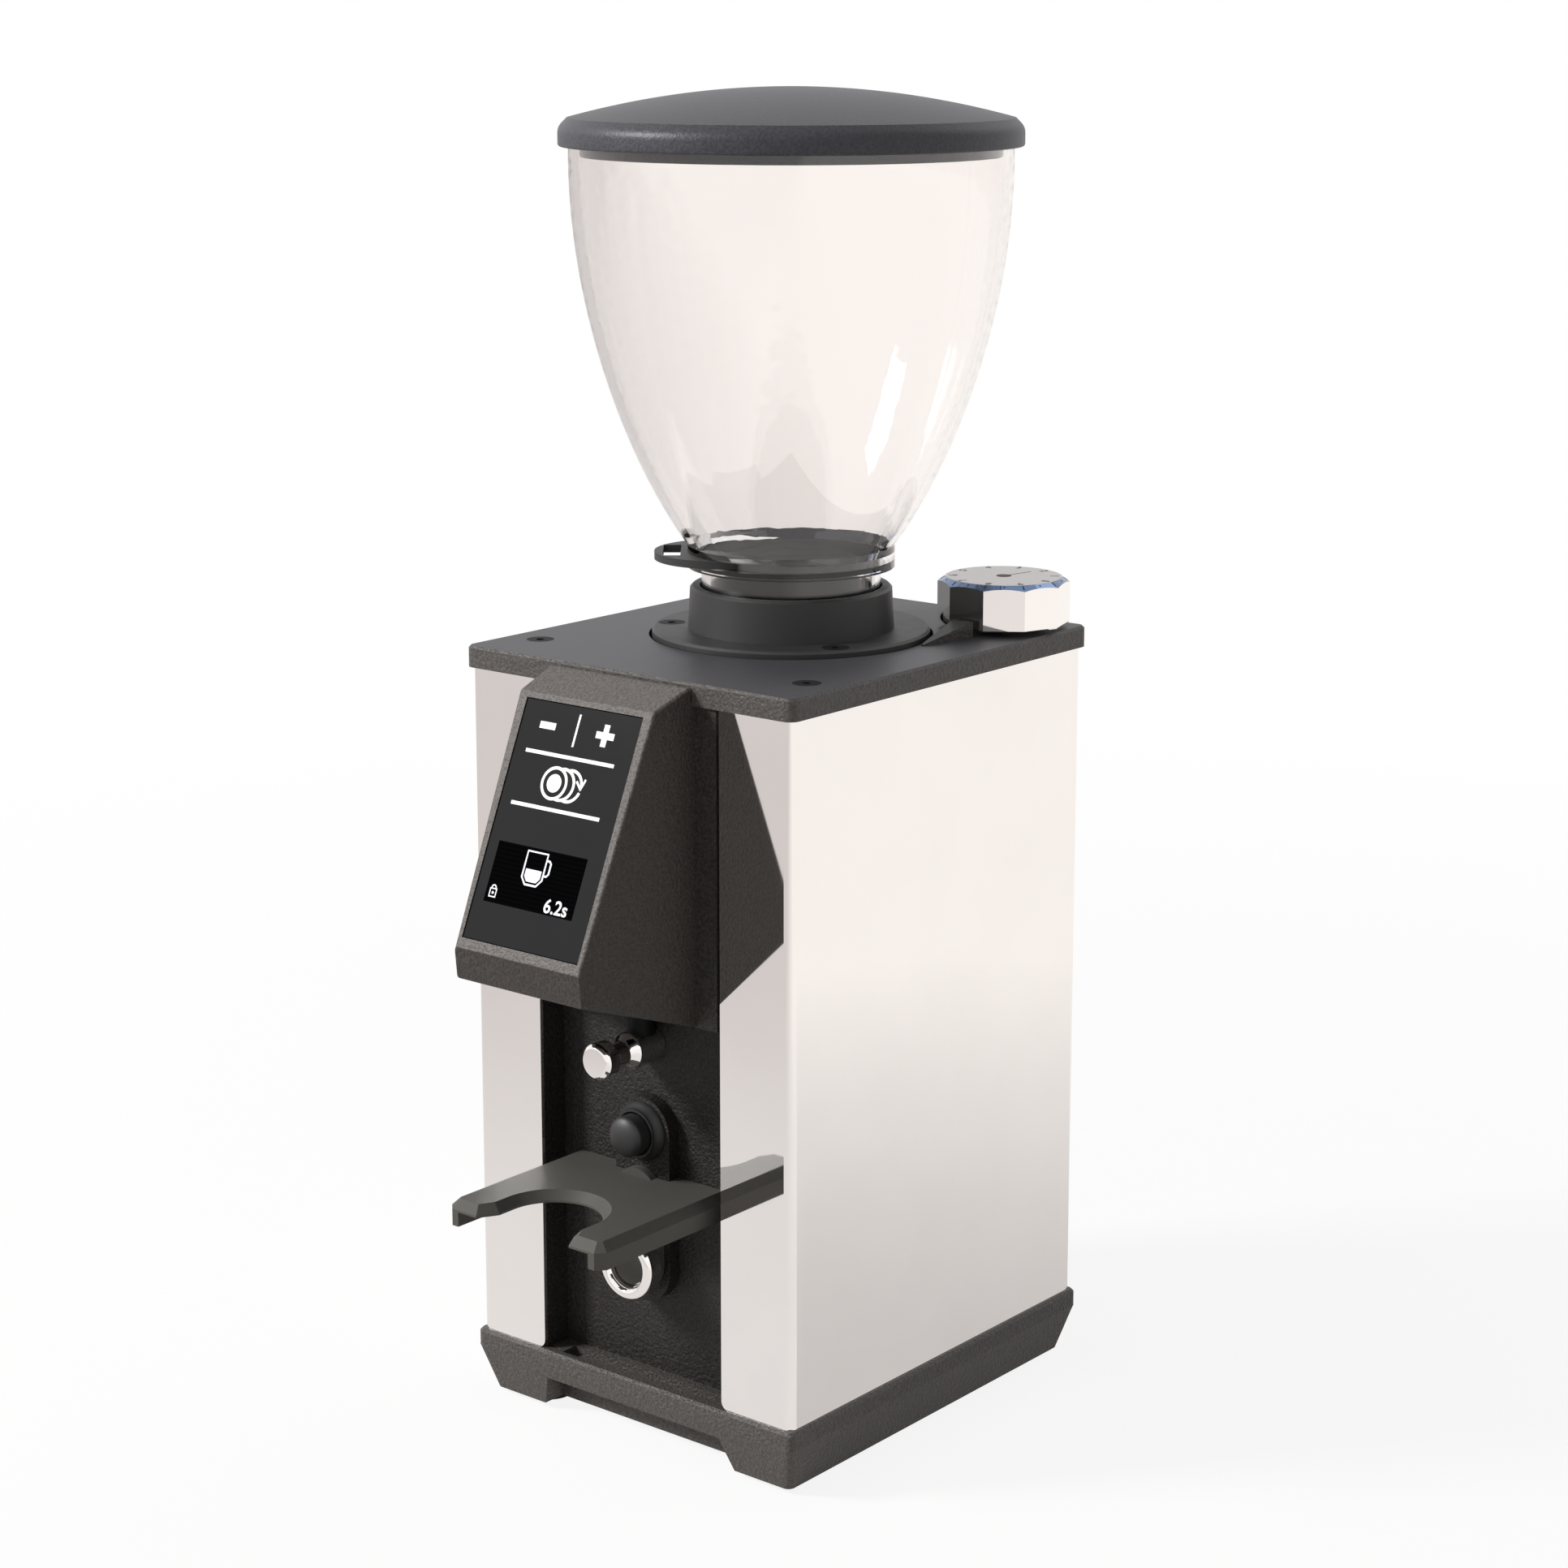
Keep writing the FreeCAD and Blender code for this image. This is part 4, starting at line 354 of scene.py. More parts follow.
def satin_chrome():
    # Face-turned plating on the dial: fine rings that spread the light into a soft even grey.
    finish, tree, where = start_finish("satin turned chrome")
    middle = (-DIAL_AXIS[0] * MM, -DIAL_AXIS[1] * MM, 0.0)
    centred = add(tree, "ShaderNodeMapping", {"Vector": where, "Location": middle})
    rings = add(tree, "ShaderNodeTexWave", {"Vector": centred.outputs["Vector"], "Scale": noise_scale(0.8) / 3,
                                            "Distortion": 0.6, "Detail": 1.0},
                wave_type="RINGS", rings_direction="Z")
    tone = add(tree, "ShaderNodeMixRGB", {"Fac": rings.outputs["Fac"], "Color1": paint("#B4AFAF"),
                                          "Color2": paint("#BDB9B8")})
    rough = add(tree, "ShaderNodeMapRange", {"Value": rings.outputs["Fac"], "To Min": 0.34, "To Max": 0.42})
    return end_finish(finish, {"Base Color": tone.outputs["Color"], "Metallic": 1.0,
                               "Roughness": rough.outputs["Result"]})


def grained_abs(name, base, depth=1.0, ior=1.42, upper=None, upper_depth=1.0, slope=(0.8, 0.98)):
    # ABS moulded against an etched tool: leathery grain that breaks up the sheen, a little paler on its peaks.
    # The grain is drawn somewhat coarser than a real one, so that it still shows at the image's size.
    finish, tree, where = start_finish(name)
    grain = add(tree, "ShaderNodeTexNoise", {"Vector": where, "Scale": noise_scale(sizes().grain / MM),
                                             "Detail": 2.0, "Roughness": 0.5})
    peaks = add(tree, "ShaderNodeMapRange", {"Value": grain.outputs["Fac"], "From Min": 0.32,
                                             "From Max": 0.68})
    rough = add(tree, "ShaderNodeMapRange", {"Value": grain.outputs["Fac"], "To Min": 0.4, "To Max": 0.52})
    valley, peak = 0.72, 1.35
    tone = add(tree, "ShaderNodeMixRGB", {"Fac": peaks.outputs["Result"], "Color1": scaled(base, valley),
                                          "Color2": scaled(base, peak)})
    strength = depth
    if upper is not None:
        # Faces that look upwards by more than the slope's share get a tone and a depth of grain of their own: on
        # the top plate that is its smooth face, on the head a paler tone that is painted highlight.
        normal = add(tree, "ShaderNodeNewGeometry").outputs["Normal"]
        facing = add(tree, "ShaderNodeSeparateXYZ", {"Vector": normal})
        part = add(tree, "ShaderNodeMapRange", {"Value": facing.outputs["Z"], "From Min": slope[0],
                                                "From Max": slope[1]})
        upper_tone = add(tree, "ShaderNodeMixRGB", {"Fac": peaks.outputs["Result"],
                                                    "Color1": scaled(upper, valley),
                                                    "Color2": scaled(upper, peak)})
        tone = add(tree, "ShaderNodeMixRGB", {"Fac": part.outputs["Result"], "Color1": tone.outputs["Color"],
                                              "Color2": upper_tone.outputs["Color"]})
        strength = add(tree, "ShaderNodeMapRange", {"Value": part.outputs["Result"], "To Min": depth,
                                                    "To Max": upper_depth}).outputs["Result"]
    bump = add(tree, "ShaderNodeBump", {"Height": grain.outputs["Fac"], "Distance": 0.6 * MM,
                                        "Strength": strength})
    return end_finish(finish, {"Base Color": tone.outputs["Color"], "Roughness": rough.outputs["Result"],
                               "IOR": ior, "Normal": bump.outputs["Normal"]})


def satin_abs():
    # ABS moulded against a blasted tool: an even soft sheen with faint clouding.
    finish, tree, where = start_finish("satin moulded ABS")
    cloud = add(tree, "ShaderNodeTexNoise", {"Vector": where, "Scale": noise_scale(4.0), "Detail": 5.0})
    tone = add(tree, "ShaderNodeMixRGB", {"Fac": cloud.outputs["Fac"], "Color1": scaled(colours().satin),
                                          "Color2": scaled(colours().satin, 1.15)})
    rough = add(tree, "ShaderNodeMapRange", {"Value": cloud.outputs["Fac"], "To Min": 0.46, "To Max": 0.56})
    return end_finish(finish, {"Base Color": tone.outputs["Color"], "Roughness": rough.outputs["Result"],
                               "IOR": 1.5})


def clear_polycarbonate():
    # Polycarbonate from a polished tool: clear, with a faint haze where the melt flowed.
    finish, tree, where = start_finish("clear moulded polycarbonate")
    flow = add(tree, "ShaderNodeTexNoise", {"Vector": where, "Scale": noise_scale(30.0), "Detail": 2.0})
    rough = add(tree, "ShaderNodeMapRange", {"Value": flow.outputs["Fac"], "To Min": 0.0, "To Max": 0.03})
    return end_finish(finish, {"Base Color": paint("#FDFBFA"), "Roughness": rough.outputs["Result"],
                               "IOR": 1.58, "Transmission Weight": 1.0})


def panel_glass():
    # Glass printed black behind: a deep blue-black with a clean reflection and a trace of finger marks.
    finish, tree, where = start_finish("black printed panel glass")
    marks = add(tree, "ShaderNodeTexNoise", {"Vector": where, "Scale": noise_scale(12.0), "Detail": 6.0})
    rough = add(tree, "ShaderNodeMapRange", {"Value": marks.outputs["Fac"], "To Min": 0.03, "To Max": 0.06})
    tone = add(tree, "ShaderNodeMixRGB", {"Fac": marks.outputs["Fac"], "Color1": scaled(colours().glass),
                                          "Color2": paint("#0C0C0F")})
    return end_finish(finish, {"Base Color": tone.outputs["Color"], "Roughness": rough.outputs["Result"],
                               "IOR": 1.4})


def display_black():
    # Unlit part of a display behind the glass: nearly no reflection, with a hint of its pixel rows.
    finish, tree, where = start_finish("dark display window")
    rows = add(tree, "ShaderNodeTexWave", {"Vector": where, "Scale": noise_scale(0.6) / 6},
               bands_direction="Z")
    tone = add(tree, "ShaderNodeMixRGB", {"Fac": rows.outputs["Fac"], "Color1": paint("#050505"),
                                          "Color2": paint("#080809")})
    return end_finish(finish, {"Base Color": tone.outputs["Color"], "Roughness": 0.35,
                               "Specular IOR Level": 0.0})


def panel_ink(name, code, glow):
    # Screen-printed sign, whose small glow is painted light, and lit display segment: an even white with the fine
    # mottle of ink.
    finish, tree, where = start_finish(name)
    mottle = add(tree, "ShaderNodeTexNoise", {"Vector": where, "Scale": noise_scale(0.4), "Detail": 2.0})
    tone = add(tree, "ShaderNodeMixRGB", {"Fac": mottle.outputs["Fac"], "Color1": scaled(linear(code), 0.94),
                                          "Color2": paint(code)})
    return end_finish(finish, {"Base Color": tone.outputs["Color"], "Roughness": 0.5,
                               "Emission Color": paint(code), "Emission Strength": glow})


def dial_ink():
    # Etched and filled marks on the dial: matt dark grey, slightly uneven.
    finish, tree, where = start_finish("dark filled etching")
    mottle = add(tree, "ShaderNodeTexNoise", {"Vector": where, "Scale": noise_scale(0.5), "Detail": 2.0})
    tone = add(tree, "ShaderNodeMixRGB", {"Fac": mottle.outputs["Fac"], "Color1": paint("#3A3838"),
                                          "Color2": paint("#4E4B4B")})
    return end_finish(finish, {"Base Color": tone.outputs["Color"], "Roughness": 0.6, "IOR": 1.45})


def anodised_aluminium():
    # Bead-blasted aluminium anodised dark: a fine sparkle of grit under a satin metallic sheen.
    finish, tree, where = start_finish("dark anodised aluminium")
    grit = add(tree, "ShaderNodeTexNoise", {"Vector": where, "Scale": noise_scale(0.5), "Detail": 3.0})
    bump = add(tree, "ShaderNodeBump", {"Height": grit.outputs["Fac"], "Distance": 0.05 * MM, "Strength": 0.3})
    tone = add(tree, "ShaderNodeMixRGB", {"Fac": grit.outputs["Fac"], "Color1": scaled(colours().fork),
                                          "Color2": scaled(colours().fork, 1.2)})
    rough = add(tree, "ShaderNodeMapRange", {"Value": grit.outputs["Fac"], "To Min": 0.46, "To Max": 0.58})
    return end_finish(finish, {"Base Color": tone.outputs["Color"], "Metallic": 0.1,
                               "Roughness": rough.outputs["Result"], "IOR": 1.19,
                               "Normal": bump.outputs["Normal"]})


def inner_metal(name, low, high, rough_low, rough_high, grit, strength):
    # A worked metal: two tones of its grain, with the bump and spread of light of its machining or casting.
    finish, tree, where = start_finish(name)
    grain = add(tree, "ShaderNodeTexNoise", {"Vector": where, "Scale": noise_scale(grit), "Detail": 4.0})
    tone = add(tree, "ShaderNodeMixRGB", {"Fac": grain.outputs["Fac"], "Color1": paint(low),
                                          "Color2": paint(high)})
    rough = add(tree, "ShaderNodeMapRange", {"Value": grain.outputs["Fac"], "To Min": rough_low,
                                             "To Max": rough_high})
    bump = add(tree, "ShaderNodeBump", {"Height": grain.outputs["Fac"], "Distance": 0.1 * MM,
                                        "Strength": strength})
    return end_finish(finish, {"Base Color": tone.outputs["Color"], "Metallic": 1.0,
                               "Roughness": rough.outputs["Result"], "Normal": bump.outputs["Normal"]})


def black_oxide():
    # Steel blackened in a hot bath: the oxide hides the metal, and the eye sees a matt, slightly mottled black.
    finish, tree, where = start_finish("black oxide steel and painted shade")
    mottle = add(tree, "ShaderNodeTexNoise", {"Vector": where, "Scale": noise_scale(1.0), "Detail": 4.0})
    tone = add(tree, "ShaderNodeMixRGB", {"Fac": mottle.outputs["Fac"], "Color1": paint("#0B0B0B"),
                                          "Color2": paint("#161616")})
    rough = add(tree, "ShaderNodeMapRange", {"Value": mottle.outputs["Fac"], "To Min": 0.55, "To Max": 0.7})
    return end_finish(finish, {"Base Color": tone.outputs["Color"], "Roughness": rough.outputs["Result"],
                               "IOR": 1.25})


def moulded_rubber():
    # Black rubber: dull, with a dusty bloom.
    finish, tree, where = start_finish("moulded black rubber")
    bloom = add(tree, "ShaderNodeTexNoise", {"Vector": where, "Scale": noise_scale(2.0), "Detail": 5.0})
    tone = add(tree, "ShaderNodeMixRGB", {"Fac": bloom.outputs["Fac"], "Color1": paint("#171616"),
                                          "Color2": paint("#2A2928")})
    rough = add(tree, "ShaderNodeMapRange", {"Value": bloom.outputs["Fac"], "To Min": 0.7, "To Max": 0.9})
    return end_finish(finish, {"Base Color": tone.outputs["Color"], "Roughness": rough.outputs["Result"],
                               "IOR": 1.52})


def solder_mask():
    # Fibreglass board under green solder mask: a slight weave under a gloss coat.
    finish, tree, where = start_finish("green solder mask board")
    weave = add(tree, "ShaderNodeTexChecker", {"Vector": where, "Scale": noise_scale(1.0),
                                               "Color1": paint("#1F5A33"), "Color2": paint("#23663A")})
    rough = add(tree, "ShaderNodeTexNoise", {"Vector": where, "Scale": noise_scale(3.0)})
    return end_finish(finish, {"Base Color": weave.outputs["Color"], "Roughness": rough.outputs["Fac"],
                               "IOR": 1.5})


def dress_nodes(finish, *names):
    """Gives CAD nodes their finish in place of the one they were packed with."""
    for name in names:
        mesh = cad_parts[name].data
        mesh.materials.clear()
        mesh.materials.append(finish)


class GRINDER_OT_finishes(bpy.types.Operator):
    """Gives each carried-over node its finish"""
    bl_idname = "grinder.finishes"
    bl_label = "Finishes"

    def execute(self, context):
        tones = colours()
        dress_nodes(polished_chrome(), "case_wrap", "dial_knob", "hook_pin", "fork_lock_knob")
        dress_nodes(grained_abs("grained moulded ABS", tones.grained), "base", "rear_panel", "hopper_lid")
        # The head's upward-looking faces are paler than its upright ones: painted highlight where the key lamp
        # falls, while the darker housing tone on the sides is painted shade.
        dress_nodes(grained_abs("grained moulded ABS with painted shade and highlight", tones.housing, 0.6, 1.3, tones.bevel, 0.6,
                                (0.05, 0.4)), "head_housing")
        # The front plate and rail share a tone darkened as painted shade for the head's shadow.
        dress_nodes(grained_abs("black grained moulded ABS with painted shade", tones.front, 0.9, 1.3), "front_plate",
                    "guide_rail")
        # The top plate's upper face is smooth, and only its edge carries the grain.
        dress_nodes(grained_abs("grained ABS with a smooth top", tones.grained, 0.6, upper=tones.top,
                                upper_depth=0.03), "top_plate")
        dress_nodes(satin_abs(), "collar", "hopper_gate", "start_button", "button_bezel", "chute",
                    "start_switch", "power_inlet", "switch_rocker", "rocker_frame", "capacitor")
        dress_nodes(clear_polycarbonate(), "hopper")
        dress_nodes(panel_glass(), "touch_panel")
        dress_nodes(solder_mask(), "display_board", "control_board")
        dress_nodes(anodised_aluminium(), "fork")
        dress_nodes(inner_metal("cast aluminium", "#A9AAAB", "#C2C3C4", 0.4, 0.6, 1.5, 0.5), "grind_chamber",
                    "motor_lower_bracket", "motor_upper_bracket", "burr_carrier", "burr_holder")
        dress_nodes(inner_metal("ground steel", "#A6A6A8", "#BDBDBE", 0.22, 0.36, 0.8, 0.15), "corner_posts",
                    "drive_shaft", "rotor_core", "stator_core", "motor_can", "bearings", "upper_burr",
                    "lower_burr", "dial_spindle", "clamp_nut", "board_pillars", "feed_cone", "button_spring",
                    "lock_stud")
        # The screws are black oxide; the hook post takes the same black as painted shade for the shadow and dark
        # reflections under the head.
        dress_nodes(black_oxide(), "base_screws", "hook_post", "rear_screws", "top_plate_screws",
                    "collar_screws", "bracket_screws")
        dress_nodes(inner_metal("machined brass", "#B08A45", "#C9A35B", 0.25, 0.4, 1.0, 0.15), "adjust_ring",
                    "adjust_pinion", "spindle_bush", "windings")
        dress_nodes(moulded_rubber(), "base_feet", "motor_mounts", "hopper_seal")
        return {"FINISHED"}


class GRINDER_OT_lid(bpy.types.Operator):
    """Domed hopper lid with a rounded rim and a plug that sits in the hopper's mouth"""
    bl_idname = "grinder.lid"
    bl_label = "Hopper lid"

    def execute(self, context):
        rim, lip, plug, bore, crown = 64.3, 62.0, 58.3, 55.9, 61.8
        plug_low, rim_low, seat, rim_top, apex = 355.6, 358.2, 360.6, 363.4, 374.2
        shoulder, wall = 2.5, 2.4
        # The dome falls from its apex as the square of the radius, down to a rounded shoulder and rim.
        radius = np.linspace(crown, 0.0, 40)
        fall = apex - rim_top - shoulder
        dome = np.stack([radius, apex - fall * (radius / crown) ** 2], axis=1)
        under = np.linspace(0.0, bore, 24)
        ceiling = np.stack([under, apex - wall - fall * (under / bore) ** 2], axis=1)
        edge = rounded([(bore, plug_low), (plug, plug_low), (plug, seat), (lip, seat), (lip, rim_low),
                        (rim, rim_low), (rim, rim_top), (crown, rim_top + shoulder)],
                       (0, 0.4, 0, 0, 0.3, 0.8, 1.6, 0))
        profile = np.concatenate([ceiling, edge[:-1], dome])
        finish = grained_abs("fine grained lid ABS", colours().lid, depth=0.2)
        show("turned_lid", [upright(turned(profile), HOPPER_AXIS)], finish, "lid",
             ["hopper_lid"])
        return {"FINISHED"}


class GRINDER_OT_button(bpy.types.Operator):
    """Domed start button and the bell-shaped boss round it"""
    bl_idname = "grinder.button"
    bl_label = "Start button"

    def execute(self, context):
        finish = satin_abs()
        # The dome is the ellipse r = 5.75 sin t, h = 6.6 + 2.6 cos t above a straight skirt; the stem goes in.
        wide, skirt_top, rise = 5.75, 6.6, 2.6
        stem, stem_end, skirt_foot = 2.4, -9.5, 3.0
        turn = np.linspace(np.pi / 2, 0.0, 20)
        dome = np.stack([wide * np.sin(turn), skirt_top + rise * np.cos(turn)], axis=1)
        dome[-1, 0] = 0.0
        foot = [(0.0, stem_end), (stem, stem_end), (stem, skirt_foot), (wide, skirt_foot)]
        show("domed_button", [to_front(turned(np.concatenate([foot, dome]), 96), BUTTON_PLACE)], finish,
             "button", ["start_button"])
        # The boss narrows from 8.5 to 6.9 in an S: r = 7.7 + 0.8 cos(pi u), with u from the rail to its nose.
        middle, swing, tall, bore, lead = 7.7, 0.8, 3.4, 6.05, 0.25
        share = np.linspace(0.0, 1.0, 16)
        outside = np.stack([middle + swing * np.cos(np.pi * share), tall * share], axis=1)
        inside = [(bore + lead, tall), (bore, tall - lead), (bore, 0.0)]
        boss = turned(np.concatenate([outside, inside]), 96, closed=True)
        show("button_boss", [to_front(boss, BUTTON_PLACE)], finish, "body", ["button_bezel"])
        return {"FINISHED"}


class GRINDER_OT_lock_knob(bpy.types.Operator):
    """Chrome lock knob with a rounded rim round its dished face"""
    bl_idname = "grinder.lock_knob"
    bl_label = "Lock knob"

    def execute(self, context):
        # The rim's crest is the half circle r = 7.8 + 1.8 cos t, h = 3.6 + 1.8 sin t, with the dish inside it.
        rim, level, tube = 7.8, 3.6, 1.8
        edge, dish, floor = 0.4, 5.64, 2.0
        turn = np.linspace(0.0, np.pi, 17)
        crest = np.stack([rim + tube * np.cos(turn), level + tube * np.sin(turn)], axis=1)
        back = [(0.0, 0.0), (rim + tube - edge, 0.0), (rim + tube, edge)]
        profile = np.concatenate([back, crest, [(dish, floor), (0.0, floor)]])
        show("dished_lock_knob", [to_front(turned(profile, 96), LOCK_PLACE)], polished_chrome(), "lock",
             ["fork_lock_knob"])
        # The dish carries a shallow bowl of a darker metal, h = 2.05 + 0.9 (r / 5.4)^2.
        wide, thin, rise = 5.4, 0.05, 0.9
        radius = np.linspace(wide, 0.0, 16)
        hollow = np.stack([radius, floor + thin + rise * (radius / wide) ** 2], axis=1)
        bowl = turned(np.concatenate([[(0.0, floor), (wide, floor)], hollow]), 96)
        show("lock_bowl", [to_front(bowl, LOCK_PLACE)], anodised_aluminium(), "lock")
        return {"FINISHED"}


class GRINDER_OT_hook(bpy.types.Operator):
    """Chrome hook pin with softened edges: shoulder, waist and head"""
    bl_idname = "grinder.hook"
    bl_label = "Hook pin"

    def execute(self, context):
        waist, shoulder, head, face = 3.15, 5.3, 5.2, 4.1
        profile = rounded([(0.0, -4.0), (waist, -4.0), (waist, 0.0), (shoulder, 0.0), (shoulder, 9.9),
                           (waist, 12.1), (waist, 17.1), (head, 18.2), (head, 22.3), (face, 23.4),
                           (0.0, 23.4)],
                          (0, 0, 0, 0.3, 0.7, 0.7, 0.4, 0.4, 0.5, 0.4, 0), 6)
        show("turned_hook_pin", [to_front(turned(profile, 96), HOOK_PLACE)], polished_chrome(), "body",
             ["hook_pin"])
        return {"FINISHED"}


class GRINDER_OT_dial(bpy.types.Operator):
    """Ten-sided dial knob with a coned edge, and the satin disc, pointer, digits and marks on it"""
    bl_idname = "grinder.dial"
    bl_label = "Dial"
    sides = 10
    reach = 18.9
    low, high = 223.0, 236.2
    cone = 0.62

    def execute(self, context):
        disc = sizes().dial_disc / MM
        thick = sizes().ink / MM
        self.make_knob(disc)
        top = (*DIAL_AXIS, self.high)
        gap = 0.05
        show("dial_disc", [shifted(plate(circle((0, 0), disc - gap, 120), thick), top)], satin_chrome(), "dial")
        marks = [shifted(mark, (*DIAL_AXIS, self.high + thick)) for mark in self.disc_marks(disc)]
        marks += [shifted(mark, top) for mark in self.edge_marks(disc)]
        show("dial_marks", marks, dial_ink(), "dial")
        return {"FINISHED"}

    def make_knob(self, disc):
        """The knob: its side is a ten-sided outline, and its edge a cone.

        The side's radius is R(a) = R cos(18) / cos(a - middle of the side), and the edge is the cone
        z = top - 0.62 (r - disc), which meets the side in shallow arches.
        """
        bore, hub, hollow, roof, edge = 4.0, 7.5, 12.3, self.high - 3.0, 0.4
        half = 180.0 / self.sides
        angle = np.linspace(0.0, 360.0, 160, endpoint=False)
        side = self.reach * np.cos(np.radians(half)) / np.cos(np.radians(angle % (2 * half) - half))
        level = self.high - self.cone * (side - disc)
        rows = [(bore, roof), (bore, self.low), (hub, self.low), (hub, roof), (hollow, roof),
                (hollow, self.low), (side - edge, self.low), (side, self.low + edge), (side, level),
                (disc, self.high), (0.0, self.high)]
        turn = np.radians(angle)
        points = np.stack([np.stack([radius * np.cos(turn), radius * np.sin(turn), height + 0 * turn], axis=-1)
                           for radius, height in rows])
        index = np.arange(points[..., 0].size).reshape(points.shape[:2])
        index[-1] = index[-1, 0]
        faces = grid_faces(index, False) + [index[0][::-1].tolist()]
        show("coned_dial_knob", [upright((points.reshape(-1, 3), faces), DIAL_AXIS)], edged_chrome(), "dial",
             ["dial_knob"], crease=12.0)

    def disc_marks(self, disc):
        """A round boss with its pointer, and a ring of digits."""
        thin, boss, aim = 0.04, 2.2, 78.6
        tall = sizes().digit / MM
        marks = [plate(circle((0, 0), boss), thin), spun(bar(boss, 10.6, -0.14, 0.14, thin), aim)]
        for step in range(self.sides):
            digit = shifted(characters(str(step), tall, thin), (0.0, disc - 0.7 - tall / 2, 0.0))
            marks.append(spun(digit, 360 / self.sides * step - 90))
        return marks

    def edge_marks(self, disc):
        """On the coned edge, a stroke at each corner and a dot at the middle of each side."""
        thin = 0.05
        lean = math.atan(self.cone)
        marks = []
        for step in range(2 * self.sides):
            if step % 2 == 0:
                shape = bar(0.35, self.reach - disc - 0.5, -0.2, 0.2, thin)
            else:
                shape = plate(circle(((17.97 - disc) / 2, 0), 0.28), thin)
            x, y, z = shape[0].T
            sloped = np.stack([disc + x * math.cos(lean) + z * math.sin(lean), y,
                               z * math.cos(lean) - x * math.sin(lean)], axis=1)
            marks.append(spun((sloped, shape[1]), 180 / self.sides * step))
        return marks


def panel_frame():
    """The panel's low edge and the directions up along its face and out of it, from its box and its tilt."""
    tilt = math.radians(PANEL_TILT)
    s, c = math.sin(tilt), math.cos(tilt)
    low, high = (np.array(corner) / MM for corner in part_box("touch_panel"))
    deep, tall = high[1] - low[1], high[2] - low[2]
    thick = (deep * c - tall * s) / (c * c - s * s)
    return np.array([0.0, low[1], low[2] + thick * s]), np.array([0.0, s, c]), np.array([0.0, -c, s])


def on_panel(shape, lift=0.0):
    """A flat shape of (across, up, out) laid on the panel's face, lifted off it a little."""
    start, up, out = panel_frame()
    across, along, away = shape[0].T
    points = start + np.outer(across, (1.0, 0.0, 0.0)) + np.outer(along, up) + np.outer(away + lift, out)
    return points, shape[1]


class GRINDER_OT_panel_signs(bpy.types.Operator):
    """Signs on the touch panel: minus, plus, repeat, rules, and the display with its picture and seconds"""
    bl_idname = "grinder.panel_signs"
    bl_label = "Panel signs"

    def execute(self, context):
        thick = sizes().ink / MM
        # The printed signs glow a little: painted light that brings the ink up to white.
        show("panel_signs", [on_panel(sign) for sign in self.printed(thick)],
             panel_ink("white panel ink with painted glow", "#F2F2EC", 0.12), "body")
        show("display_window", [on_panel(bar(-17.1, 14.75, 10.45, 27.05, thick / 2))], display_black(), "body")
        show("display_picture", [on_panel(item, thick / 2) for item in self.lit(thick)],
             panel_ink("lit display segments", "#DADBE2", 0.2), "body")
        return {"FINISHED"}

    def printed(self, thick):
        """Minus, plus, the line between them, two rules, and a repeat sign of three rings with an arrow."""
        plus = [(8.5, 56.6), (10.35, 56.6), (10.35, 58.65), (12.6, 58.65), (12.6, 60.5), (10.35, 60.5),
                (10.35, 62.6), (8.5, 62.6), (8.5, 60.5), (6.25, 60.5), (6.25, 58.65), (8.5, 58.65)]
        bars = [(-13.9, -8.3, 58.6, 60.5), (-1.05, -0.4, 55.1, 64.0), (-16.5, 15.1, 51.65, 52.65),
                (-16.7, 15.0, 37.2, 38.2)]
        x, z = -3.6, 44.75
        radius, dot, step, line, barb = 4.2, 2.5, 2.7, 0.85, 0.65
        signs = [bar(*sides, thick) for sides in bars]
        signs += [plate(plus, thick),
                  plate(circle((x, z), dot), thick),
                  ribbon(circle((x, z), radius), line, thick, closed=True)]
        for count, start, end in ((1, 105, -105), (2, 105, 2), (2, -17, -105)):
            signs.append(ribbon(arc((x + count * step, z), radius, start, end), line, thick))
        return signs + [ribbon([(3.95, 46.45), (6.1, 44.25)], barb, thick),
                        ribbon([(5.8, 44.2), (6.95, 47.3)], barb, thick)]

    def lit(self, thick):
        """A half-full mug, a padlock and a time in seconds."""
        mug = [(-6.0, 26.0), (-6.0, 18.9), (-4.4, 17.1), (-0.4, 17.1), (1.2, 18.9), (1.2, 26.0)]
        drink = [(-5.2, 21.3), (-5.2, 19.2), (-4.1, 17.9), (-0.7, 17.9), (0.4, 19.2), (0.4, 21.3)]
        grip = [(1.2, 24.3), (2.3, 24.3), (2.9, 23.7), (2.9, 20.9), (2.3, 20.2), (1.2, 20.2)]
        lock = [(-15.6, 12.0), (-13.4, 12.0), (-13.4, 14.2), (-15.6, 14.2)]
        return [ribbon(mug, 0.6, thick, closed=True),
                plate(drink, thick),
                ribbon(grip, 0.6, thick),
                ribbon(lock, 0.5, thick, closed=True),
                ribbon(arc((-14.5, 14.4), 0.75, 0, 180, 13), 0.4, thick),
                plate(circle((-14.5, 13.1), 0.4, 16), thick),
                shifted(characters("6.2s", 3.7, thick, 0.09), (8.4, 12.9, 0.0))]


